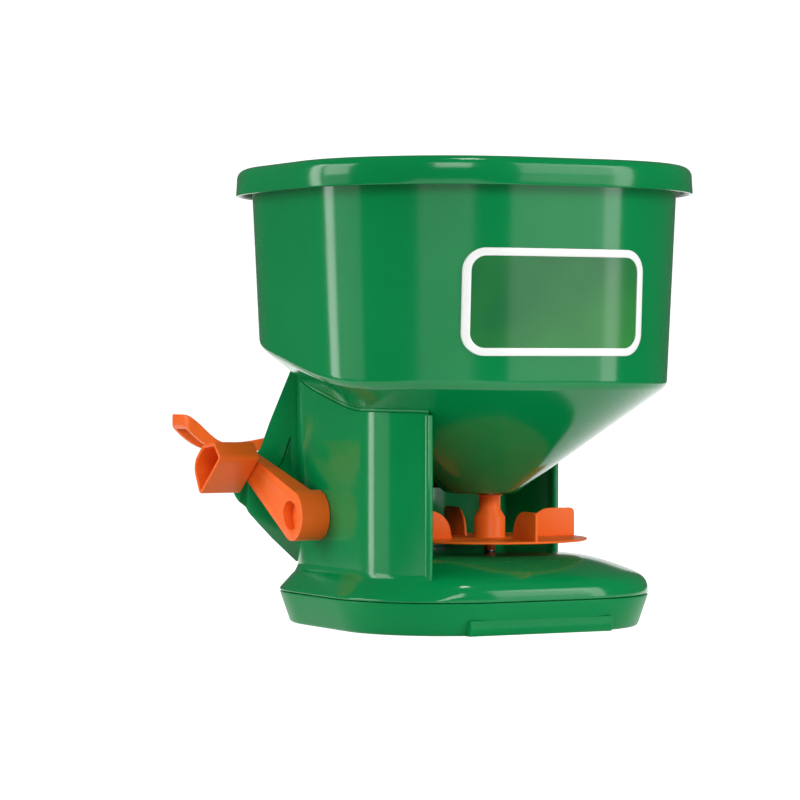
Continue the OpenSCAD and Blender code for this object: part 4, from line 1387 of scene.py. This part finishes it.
@dataclass
class ThumbTrigger:
    """Thumb lever whose hollow paddle leans in plan, in millimetres behind and over its pivot."""

    pivot: Spot = (-117.986, 98.423)
    reach: float = 65.5
    half_w: float = 7.5
    start: float = 31.0
    full: float = 40.0
    hollow: float = 36.0
    hollow_step: float = 0.05
    section_steps: tuple[int, int, int] = (4, 30, 12)
    lean: float = 1.0
    corner: float = 3.0
    soft: float = 0.9
    soft_share: float = 0.3
    dip: float = 34.0
    dip_h: float = -0.4
    bend: float = 40.5
    peak: float = 66.5
    rise: float = 15.8
    root: float = 13.0
    root_rise: float = 2.6
    skirt_from: float = 40.0
    skirt_rise: float = 14.3
    depth: float = 4.8
    skin: float = 2.2
    thin: float = 0.02
    narrow: float = 0.1
    neck_half: float = 4.5
    neck_span: Pair = (-3.0, 35.0)
    neck_steps: int = 20
    neck_in: Pair = (0.02, 0.06)
    swell: float = 1.6
    swell_d: float = 17.0
    swell_reach: float = 6.5
    fork_sides: Spots = ((-4.5, -2.3), (2.3, 4.5))
    fork_r: Pair = (5.0, 3.2)
    fork_reach: float = 21.5
    fork_lean: float = 10.0
    fork_steps: int = 64

    def top(self, d: float) -> float:
        """Give the height of the top.

        Args:
            d: Distance behind the pivot.

        Returns:
            The height over the pivot.
        """
        if d < self.dip:
            share = (self.dip - max(d, self.root)) / (self.dip - self.root)
            return self.dip_h + self.root_rise * share ** 2
        return self.dip_h + self.rise * ease((d - self.bend) / (self.peak - self.bend))

    def low(self, d: float) -> float:
        """Give the height of the skirt's lower edge.

        Args:
            d: Distance behind the pivot.

        Returns:
            The height over the pivot.
        """
        if d < self.skirt_from:
            return self.top(d) - self.depth
        share = (d - self.skirt_from) / (self.reach - self.skirt_from)
        return self.top(self.skirt_from) - self.depth + self.skirt_rise * share * share

    def half(self, d: float, inset: float) -> float:
        """Give half the width of the paddle.

        Args:
            d: Distance behind the pivot.
            inset: Distance that the outline is set in by.

        Returns:
            Half the width.
        """
        share = ease((d - self.start) / (self.full - self.start))
        wide = self.neck_half + (self.half_w - self.neck_half) * share
        past = max(0.0, d - self.reach + self.corner)
        radius = self.corner - inset
        return wide - self.corner + math.sqrt(max(0.0, radius * radius - past * past))

    def place(self, d: float, y: float, h: float) -> Point:
        """Give the point in the row frame."""
        return self.pivot[0] - d, y, self.pivot[1] + h

    def places(self) -> list[float]:
        """Give the distances behind the pivot at which the paddle's sections lie.

        Returns:
            Distances up to the hollow, along it and through the closed end.
        """
        inside = self.reach - self.skin
        spans = [(self.start, self.hollow), (self.hollow + self.hollow_step, inside)]
        spans.append((inside + self.hollow_step, self.reach))
        found: list[float] = []
        for (first, last), steps in zip(spans, self.section_steps):
            found += [first + (last - first) * step / steps for step in range(steps + 1)]
        return found

    def paddle(self) -> Object:
        """Build the hollow paddle, open below, with a closed end.

        Returns:
            The paddle.
        """
        soft, bit = self.soft, self.soft * self.soft_share
        rings: list[list[Point]] = []
        for d in self.places():
            half = self.half(d, 0.0)
            inner = max(self.narrow, self.half(min(d, self.reach - self.skin), self.skin))
            past = max(0.0, d - self.reach + soft)
            top = self.top(d) - soft + math.sqrt(max(0.0, soft ** 2 - past ** 2))
            low = self.low(d)
            roof = low + self.thin
            if self.hollow < d <= self.reach - self.skin:
                roof = max(roof, top - self.skin)
            side = [(half - soft, top), (half - bit, top - bit), (half, top - soft), (half, low)]
            ring = [(-y, h) for y, h in reversed(side)] + side
            ring += [(inner, low), (inner, roof), (-inner, roof), (-inner, low)]
            rings.append([self.place(d + self.lean * y, y, h) for y, h in ring])
        return loft("paddle", rings)

    def neck(self) -> Object:
        """Build the solid neck inside the grip.

        Returns:
            The neck.
        """
        first, last = self.neck_span
        half, edge = self.neck_half, self.neck_half - self.soft
        rings: list[list[Point]] = []
        for step in range(self.neck_steps + 1):
            d = first + (last - first) * step / self.neck_steps
            top = self.top(d) - self.neck_in[0]
            swell = max(0.0, 1 - ((d - self.swell_d) / self.swell_reach) ** 2)
            low = top - self.depth + self.neck_in[1] - self.swell * swell
            side = [(edge, top), (half, top - self.soft), (half, low)]
            ring = [(-y, h) for y, h in reversed(side)] + side
            rings.append([self.place(d, y, h) for y, h in ring])
        return loft("neck", rings)

    def fork(self) -> Object:
        """Build the lower arms that move the gate rod.

        Returns:
            Both arms.
        """
        lean = math.radians(self.fork_lean)
        foot = (-self.fork_reach * math.sin(lean), -self.fork_reach * math.cos(lean))
        circles = [(0.0, 0.0, self.fork_r[0]), (*foot, self.fork_r[1])]
        outline = hull_of_circles(circles, 0.0, self.fork_steps)
        arms = []
        for sides in self.fork_sides:
            arms.append(loft("arm", [[self.place(-x, y, h) for x, h in outline] for y in sides]))
        return join("fork", arms)

    def build(self) -> Object:
        """Build the lever from its paddle, neck and fork."""
        return join("trigger_paddle", [self.paddle(), self.neck(), self.fork()])


# Pieces that repeat


class RepeatTree(Nodes):
    """Geometry tree that copies a shape onto points, makes the copies real and dresses them."""

    def __init__(self, name: str, inputs: dict[str, str]) -> None:
        """Start the tree.

        Args:
            name: Name of the tree.
            inputs: Socket type of each named input.
        """
        super().__init__(bpy.data.node_groups.new(name, "GeometryNodeTree"))
        self.ids: dict[str, str] = {}
        for label, kind in inputs.items():
            socket = self.tree.interface.new_socket(name=label, in_out="INPUT", socket_type=kind)
            self.ids[label] = socket.identifier
        self.tree.interface.new_socket(name="Geometry", in_out="OUTPUT", socket_type="NodeSocketGeometry")
        self.start = self.add("NodeGroupInput").outputs
        self.copies = self.add("GeometryNodeInstanceOnPoints")

    def set_copies(self, points: Socket, shape: Socket, turn: Socket, finish: Material) -> None:
        """Set copies on points, make them real and dress them.

        Args:
            points: Points that get a copy.
            shape: What is copied.
            turn: Turn of each copy.
            finish: Material of the copies.
        """
        for source, target in ((points, "Points"), (shape, "Instance"), (turn, "Rotation")):
            self.link(source, self.copies.inputs[target])
        real = self.add("GeometryNodeRealizeInstances")
        self.link(self.copies.outputs[0], real.inputs[0])
        dress = self.add("GeometryNodeSetMaterial", Material=finish)
        self.link(real.outputs[0], dress.inputs["Geometry"])
        self.link(dress.outputs[0], self.add("NodeGroupOutput").inputs[0])

    def run(self, piece: Object, values: dict[str, object]) -> Object:
        """Run the tree on a piece and keep a plain mesh.

        Args:
            piece: Object that gives the first input.
            values: Values of the other inputs by name.

        Returns:
            The changed piece.
        """
        step = piece.modifiers.new(self.tree.name, "NODES")
        step.node_group = self.tree
        for label, value in values.items():
            step[self.ids[label]] = value
        return bake(piece)


@dataclass
class SpinnerDisc:
    """Spinner disc with vanes and a stepped hub, in millimetres."""

    disc_r: float = 53.4
    disc_z: float = 47.0
    disc_t: float = 1.2
    disc_low: Spots = ((-0.4, 0.0), (-0.1, 0.25), (0.0, 0.6))
    disc_top: Spots = ((-0.1, -0.25), (-0.4, 0.0))
    disc_steps: int = 120
    vanes: int = 4
    vane_h: float = 15.4
    vane_in: float = 24.8
    vane_root: float = 1.0
    vane_end: float = 0.4
    vane_t: float = 1.4
    vane_curve: float = 0.86
    vane_corner: float = 2.75
    vane_steps: tuple[int, int] = (6, 9)
    vane_offset: float = 3.2
    vane_turn: float = 41.0
    vane_soft: float = 0.3
    vane_soft_angle: float = 50.0
    hub_profile: Spots = (
        (9.6, 47.0), (8.8, 47.25), (8.5, 47.9), (8.5, 57.9), (8.35, 58.5), (6.05, 62.3), (5.9, 62.9),
        (5.9, 69.4), (6.1, 69.75), (6.9, 69.95), (6.9, 70.5), (6.7, 70.7), (2.1, 70.7), (2.1, 40.0),
        (3.1, 40.0), (3.1, 45.4), (3.5, 45.8),
    )

    def plate(self) -> Object:
        """Build the disc and its hub.

        Returns:
            The turned piece.
        """
        edge = offset(self.disc_r, self.disc_z - self.disc_t, self.disc_low)
        edge += offset(self.disc_r, self.disc_z, self.disc_top)
        return turned("disc", list(self.hub_profile) + edge, self.disc_steps, closed=True)

    def vane_outline(self) -> Outline:
        """Give the vane's outline.

        Returns:
            Distance from the axis and height over the disc of each point.
        """
        reach, corner, curve = self.disc_r - self.vane_end, self.vane_corner, self.vane_h * self.vane_curve
        points = [(self.vane_in - self.vane_root, -self.disc_t / 2), (reach, -self.disc_t / 2)]
        arcs = [(reach - corner, corner), (self.vane_in + curve, curve)]
        for turn, ((x, radius), steps) in enumerate(zip(arcs, self.vane_steps)):
            for step in range(steps + 1):
                points.append(out_from(x, self.vane_h - radius, QUARTER * (turn + step / steps), radius))
        return points

    def vane(self) -> Object:
        """Build one vane along the X axis.

        Returns:
            The vane.
        """
        sides = (self.vane_offset - self.vane_t / 2, self.vane_offset + self.vane_t / 2)
        rings = [[(x, y, self.disc_z + z) for x, z in self.vane_outline()] for y in sides]
        return round_edges(loft("vane", rings), self.vane_soft, self.vane_soft_angle)

    def repeat_tree(self, finish: Material) -> RepeatTree:
        """Build the tree that sets vanes round the axis.

        Args:
            finish: Material of the vanes.

        Returns:
            The tree.
        """
        inputs = {"Vane": "NodeSocketGeometry", "Count": "NodeSocketInt", "First angle": "NodeSocketFloat"}
        tree = RepeatTree("vanes_round_axis", inputs)
        spots = tree.add("GeometryNodePoints")
        tree.link(tree.start["Count"], spots.inputs["Count"])
        step = tree.add("ShaderNodeMath", operation="DIVIDE")
        step.inputs[0].default_value = 2 * math.pi
        tree.link(tree.start["Count"], step.inputs[1])
        angle = tree.add("ShaderNodeMath", operation="MULTIPLY_ADD")
        number = tree.add("GeometryNodeInputIndex").outputs[0]
        for source, target in zip((number, step.outputs[0], tree.start["First angle"]), angle.inputs):
            tree.link(source, target)
        turn = tree.add("ShaderNodeCombineXYZ")
        tree.link(angle.outputs[0], turn.inputs["Z"])
        tree.set_copies(spots.outputs[0], tree.start["Vane"], turn.outputs[0], finish)
        return tree

    def build(self, finish: Material) -> Object:
        """Build the spinner.

        Args:
            finish: Material of the disc and vanes.

        Returns:
            The spinner piece.
        """
        values = {"Count": self.vanes, "First angle": math.radians(self.vane_turn)}
        vanes = self.repeat_tree(finish).run(self.vane(), values)
        return join("spinner_wheel", [self.plate(), vanes])


@dataclass
class ScrewSet:
    """Pan-head screws with a cross recess, set at seats along their axes, in millimetres."""

    shank_r: float = 1.5
    tip: float = 1.5
    head_r: float = 3.0
    head_h: float = 2.2
    # Shares of the head's radius and height, from the middle of its top to its underside
    head_curve: Spots = ((0.0, 1.0), (0.5, 0.97), (0.82, 0.8), (0.97, 0.5), (1.0, 0.15), (1.0, 0.0))
    cross_half: float = 0.42
    cross_reach: float = 0.6
    cross_floor: float = 0.45
    cross_past: float = 1.0
    middle_r: float = 0.01
    steps: int = 28

    def screw(self, length: float) -> Object:
        """Build one screw that points down the Z axis, with the head's underside at zero.

        Args:
            length: Length of the shank.

        Returns:
            The screw.
        """
        rows = [(max(r * self.head_r, self.middle_r), h * self.head_h) for r, h in self.head_curve]
        rows += [(self.shank_r, 0.0), (self.shank_r, -length + self.tip), (self.middle_r, -length)]
        made = turned("screw", rows, self.steps)
        slot, wide = self.cross_half, self.head_r * self.cross_reach
        for x, y in ((wide, slot), (slot, wide)):
            low = Vector((-x, -y, self.head_h * self.cross_floor)) * MM
            combine(made, box_piece("slot", low, Vector((x, y, self.head_h + self.cross_past)) * MM))
        return made

    def tree(self, finish: Material) -> RepeatTree:
        """Build the tree that sets a screw on every seat.

        Args:
            finish: Material of the screws.

        Returns:
            The tree.
        """
        inputs = {"Seats": "NodeSocketGeometry", "Screw": "NodeSocketObject", "Scale": "NodeSocketFloat"}
        tree = RepeatTree("screws_on_seats", inputs)
        shape = tree.add("GeometryNodeObjectInfo")
        tree.link(tree.start["Screw"], shape.inputs["Object"])
        axis = tree.add("GeometryNodeInputNamedAttribute", data_type="FLOAT_VECTOR", Name="seat_axis")
        turn = tree.add("FunctionNodeAlignRotationToVector", axis="Z")
        tree.link(axis.outputs["Attribute"], turn.inputs["Vector"])
        tree.link(tree.start["Scale"], tree.copies.inputs["Scale"])
        tree.set_copies(tree.start["Seats"], shape.outputs["Geometry"], turn.outputs[0], finish)
        return tree

    def build(self, name: str, seats: Sequence[Seat], length: float, finish: Material) -> Object:
        """Build a set of screws.

        Args:
            name: Name of the piece.
            seats: Place of each head's underside and the direction the head looks in.
            length: Length of the shank.
            finish: Material of the screws.

        Returns:
            One piece with all screws of the set.
        """
        mesh = bpy.data.meshes.new(name)
        mesh.from_pydata([tuple(value * MM for value in place) for place, _ in seats], [], [])
        ways = mesh.attributes.new("seat_axis", "FLOAT_VECTOR", "POINT")
        for index, (_, way) in enumerate(seats):
            ways.data[index].vector = way
        screw = self.screw(length)
        made = self.tree(finish).run(linked(name, mesh), {"Screw": screw, "Scale": 1.0})
        bpy.data.objects.remove(screw)
        smooth(made.data)
        return made


# Assembly


@dataclass
class Spreader:
    """The whole object: builds each sub-assembly and hands it to the frame."""

    finishes: Finishes
    grip_soft: Pair = (0.8, 30.0)
    # Node of each set of screws, the axis that they lie along, where the heads look and the shank's length
    screws: tuple[tuple[str, int, float, float], ...] = (
        ("hopper_screws", 2, 1.0, 20.0), ("base_screws", 2, -1.0, 26.5), ("grip_screws", 1, 1.0, 20.8),
    )

    def hand_over(self, piece: Object, body: Body, finish: Material, slot: Slot, *nodes: str) -> None:
        """Dress a piece and let it stand for frame nodes.

        Args:
            piece: The new piece.
            body: Body that it rides on.
            finish: Its material.
            slot: Its record slot; not used.
            nodes: Frame nodes that it replaces.
        """
        piece.data.materials.clear()
        piece.data.materials.append(finish)
        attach(piece, body.value)
        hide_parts(*nodes)
        log.info("%s: %d faces, stands for %s", piece.name, len(piece.data.polygons), ", ".join(nodes))

    def screw_seats(self, node: str, axis: int, ahead: float) -> list[Seat]:
        """Read the places of a node's screws from its loose parts.

        Args:
            node: Frame node with one shell for each screw.
            axis: Axis that the screws lie along.
            ahead: Direction of the heads along that axis.

        Returns:
            Place of each head's underside and the direction of the head, sorted by place.
        """
        work = merged(node)
        left = set(work.verts)
        seats: list[Seat] = []
        while left:
            shell = [left.pop()]
            for vert in shell:
                for edge in vert.link_edges:
                    other = edge.other_vert(vert)
                    if other in left:
                        left.discard(other)
                        shell.append(other)
            spots = np.array([vert.co for vert in shell]) / MM
            middle = (spots.min(0) + spots.max(0)) / 2
            middle[axis] = (spots.max(0) if ahead > 0 else spots.min(0))[axis] - ahead * ScrewSet.head_h
            way = [0.0, 0.0, 0.0]
            way[axis] = ahead
            seats.append((tuple(middle), tuple(way)))
        work.free()
        return sorted(seats)

    def paint_frame(self) -> None:
        """Give every frame node the finish of its record slot."""
        slots = {entry["node"]: entry["material_slot"] for entry in frame["record"]["subparts"]}
        for name, node in frame["nodes"].items():
            for slot in node.material_slots:
                slot.material = self.finishes.for_slot(slots[name])

    def build(self) -> None:
        """Build and dress every piece in order."""
        made = self.finishes
        self.paint_frame()
        seats = {node: self.screw_seats(node, axis, ahead) for node, axis, ahead, _ in self.screws}
        hopper = Hopper(tuple(place for place, _ in seats["hopper_screws"]))
        sheet = ColumnSheet()
        self.hand_over(hopper.build(sheet), Body.MAIN, made.green, Slot.GREEN, "hopper")
        self.hand_over(Housing(hopper, sheet).build(), Body.MAIN, made.green, Slot.GREEN, "housing")
        self.hand_over(BottomPlate().build(), Body.MAIN, made.base_green, Slot.GREEN, "bottom_plate")
        badge = Badge(hopper)
        self.hand_over(badge.build_frame(), Body.MAIN, made.label, Slot.LABEL, "label_plate")
        self.hand_over(badge.build_field(), Body.MAIN, made.field_green, Slot.GREEN, "label_plate")
        for side in ("right", "left"):
            half = round_edges(merged_copy(f"grip_{side}_half", f"grip_{side}_shell"), *self.grip_soft)
            self.hand_over(half, Body.MAIN, made.green, Slot.GREEN, f"grip_{side}_half")
        wall = merged_copy("chamber_wall", "chamber_shield")
        self.hand_over(wall, Body.MAIN, made.green, Slot.GREEN, "chamber_wall")
        self.hand_over(CrankArm().build(), Body.CRANK, made.orange, Slot.ORANGE, "crank_arm")
        knob = CrankKnob()
        self.hand_over(knob.build(), Body.KNOB, made.orange, Slot.ORANGE, "crank_knob")
        self.hand_over(knob.rivet(), Body.CRANK, made.steel, Slot.STEEL, "knob_rivet")
        spinner = SpinnerDisc().build(made.orange)
        self.hand_over(spinner, Body.SPINNER, made.orange, Slot.ORANGE, "spinner_disc")
        self.hand_over(ThumbTrigger().build(), Body.TRIGGER, made.orange, Slot.ORANGE, "trigger_lever")
        for node, _, _, length in self.screws:
            screws = ScrewSet().build(f"{node}_set", seats[node], length, made.steel)
            self.hand_over(screws, Body.MAIN, made.steel, Slot.STEEL, node)


# Studio


@dataclass(frozen=True)
class Softbox:
    """Soft light at a place, with its width and height in metres and its power in watts."""

    name: str
    place: Point
    size: Pair
    power: float

    def hang(self, target: Vector) -> None:
        """Hang the light so that it looks at a target.

        Args:
            target: Place in metres.
        """
        data = bpy.data.lights.new(self.name, "AREA")
        data.shape = "RECTANGLE"
        data.size, data.size_y = self.size
        data.energy = self.power
        made = linked(self.name, data)
        made.location = self.place
        made.rotation_euler = (target - Vector(self.place)).to_track_quat("-Z", "Y").to_euler()


@dataclass
class Studio:
    """Camera at the photograph's angle, soft lights and a plain floor, in metres and degrees."""

    azimuth: float = 17.8
    elevation: float = 0.5925
    distance: float = 1.80586
    focal_pixels: float = 3295.0
    picture: int = 800
    sensor: float = 36.0
    aim: Point = (-0.0478, -0.0146, 0.1216)
    shift: Pair = (0.0008933, 0.0006138)
    room_light: float = 0.12
    paper_front: float = 1.0
    paper_w: Pair = (0.6, 2.0)
    paper_z: float = -0.0003
    paper_lift: float = 0.93
    wall_lift: float = 1.0
    wall_away: float = 5.0
    wall_h: float = 1.4
    paint: Colour = (0.9, 0.9, 0.9, 1.0)
    paint_rough: float = 0.9
    light_target: Point = (-0.02, 0.0, 0.13)
    lights: tuple[Softbox, ...] = (
        Softbox("left_strip", (-1.761, -0.374, 0.45), (0.32, 1.5), 11.0),
        Softbox("left_panel", (-1.543, -0.927, 0.72), (0.7, 1.0), 13.0),
        Softbox("left_low", (-1.543, -0.927, -0.02), (0.7, 0.46), 1.2),
        Softbox("right_strip", (1.79, -0.15, 0.45), (0.42, 1.6), 12.0),
        Softbox("right_panel", (1.73, -0.5, 0.78), (0.42, 1.1), 5.4),
        Softbox("right_low", (1.73, -0.5, -0.01), (0.42, 0.48), 1.2),
        Softbox("front_fill", (0.8, -1.85, 1.0), (0.9, 0.8), 19.0),
        Softbox("top_softbox", (0.45, -0.3, 2.2), (0.4, 0.4), 10.0),
    )

    def axes(self) -> tuple[Vector, Vector, Vector]:
        """Give the camera's axes.

        Returns:
            Its right, up and forward directions.
        """
        turn, tilt = math.radians(self.azimuth), math.radians(self.elevation)
        ahead = Vector((-math.sin(turn) * math.cos(tilt), math.cos(turn) * math.cos(tilt), -math.sin(tilt)))
        right = Vector((math.cos(turn), math.sin(turn), 0.0))
        return right, right.cross(ahead), ahead

    def camera(self) -> None:
        """Set the camera."""
        right, up, ahead = self.axes()
        spot = Vector(self.aim) + right * self.shift[0] + up * self.shift[1] - ahead * self.distance
        data = bpy.data.cameras.new("camera")
        data.sensor_width = self.sensor
        data.lens = self.focal_pixels * self.sensor / self.picture
        made = linked("camera", data)
        made.matrix_world = Matrix.Translation(spot) @ Matrix((right, up, -ahead)).transposed().to_4x4()
        bpy.context.scene.camera = made

    def surroundings(self) -> None:
        """Set plain pale surroundings that light the object softly."""
        world = bpy.data.worlds.new("surroundings")
        world.use_nodes = True
        bpy.context.scene.world = world
        back = world.node_tree.nodes["Background"].inputs
        back["Color"].default_value = WHITE
        back["Strength"].default_value = self.room_light

    def white_paint(self, name: str, lift: float) -> Material:
        """Make a matt white that stays white to the eye.

        Args:
            name: Name of the material.
            lift: Own light that camera, glossy and transmission rays see.

        Returns:
            The material.
        """
        paint, nodes, shader = new_material(name)
        shader["Base Color"].default_value = self.paint
        shader["Roughness"].default_value = self.paint_rough
        shader["Specular IOR Level"].default_value = 0.0
        shader["Emission Color"].default_value = WHITE
        rays = nodes.add("ShaderNodeLightPath").outputs
        seen = rays["Is Camera Ray"]
        for ray in ("Is Glossy Ray", "Is Transmission Ray"):
            either = nodes.add("ShaderNodeMath", operation="MAXIMUM")
            nodes.link(seen, either.inputs[0])
            nodes.link(rays[ray], either.inputs[1])
            seen = either.outputs[0]
        glow = nodes.add("ShaderNodeMath", operation="MULTIPLY")
        glow.inputs[1].default_value = lift
        nodes.link(seen, glow.inputs[0])
        nodes.link(glow.outputs[0], shader["Emission Strength"])
        return paint

    def sheet(self, name: str, corners: Sequence[Vector], lift: float) -> Object:
        """Make a white sheet.

        Args:
            name: Name of the sheet.
            corners: Its corners in order, in metres.
            lift: Own light of its paint.

        Returns:
            The sheet.
        """
        made = piece_from(name, [tuple(corner / MM) for corner in corners], [[0, 1, 2, 3]])
        made.data.materials.append(self.white_paint(f"{name}_paint", lift))
        return made

    def floor(self) -> None:
        """Lay a sheet of white paper under the object, from its front edge back to the wall."""
        right, _, ahead = self.axes()
        level = Vector((ahead.x, ahead.y, 0.0)).normalized()
        low = Vector((0.0, 0.0, self.paper_z))
        near, far = -self.paper_front, self.wall_away
        narrow, wide = self.paper_w[0] / 2, self.paper_w[1] / 2
        places = ((near, -narrow), (near, narrow), (far, wide), (far, -wide))
        corners = [level * along + right * aside + low for along, aside in places]
        sheet = self.sheet("floor", corners, self.paper_lift)

    def backdrop(self) -> None:
        """Stand a white wall far behind the object."""
        right, _, ahead = self.axes()
        foot = Vector((ahead.x, ahead.y, 0.0)) * self.wall_away
        half, low, high = self.paper_w[1] / 2, self.paper_z, self.wall_h
        places = ((-half, low), (half, low), (half, high), (-half, high))
        corners = [foot + right * aside + Vector((0.0, 0.0, z)) for aside, z in places]
        wall = self.sheet("backdrop", corners, self.wall_lift)

    def build(self) -> None:
        """Set up camera, lights, floor, backdrop and view."""
        bpy.context.scene.view_settings.view_transform = "Standard"
        self.camera()
        self.surroundings()
        self.floor()
        self.backdrop()
        for light in self.lights:
            light.hang(Vector(self.light_target))


def main() -> None:
    """Build the object and its studio."""
    logging.basicConfig(level=logging.INFO, format="%(name)s: %(message)s")
    Spreader(Finishes.make()).build()
    Studio().build()


if __name__ == "__main__":
    main()
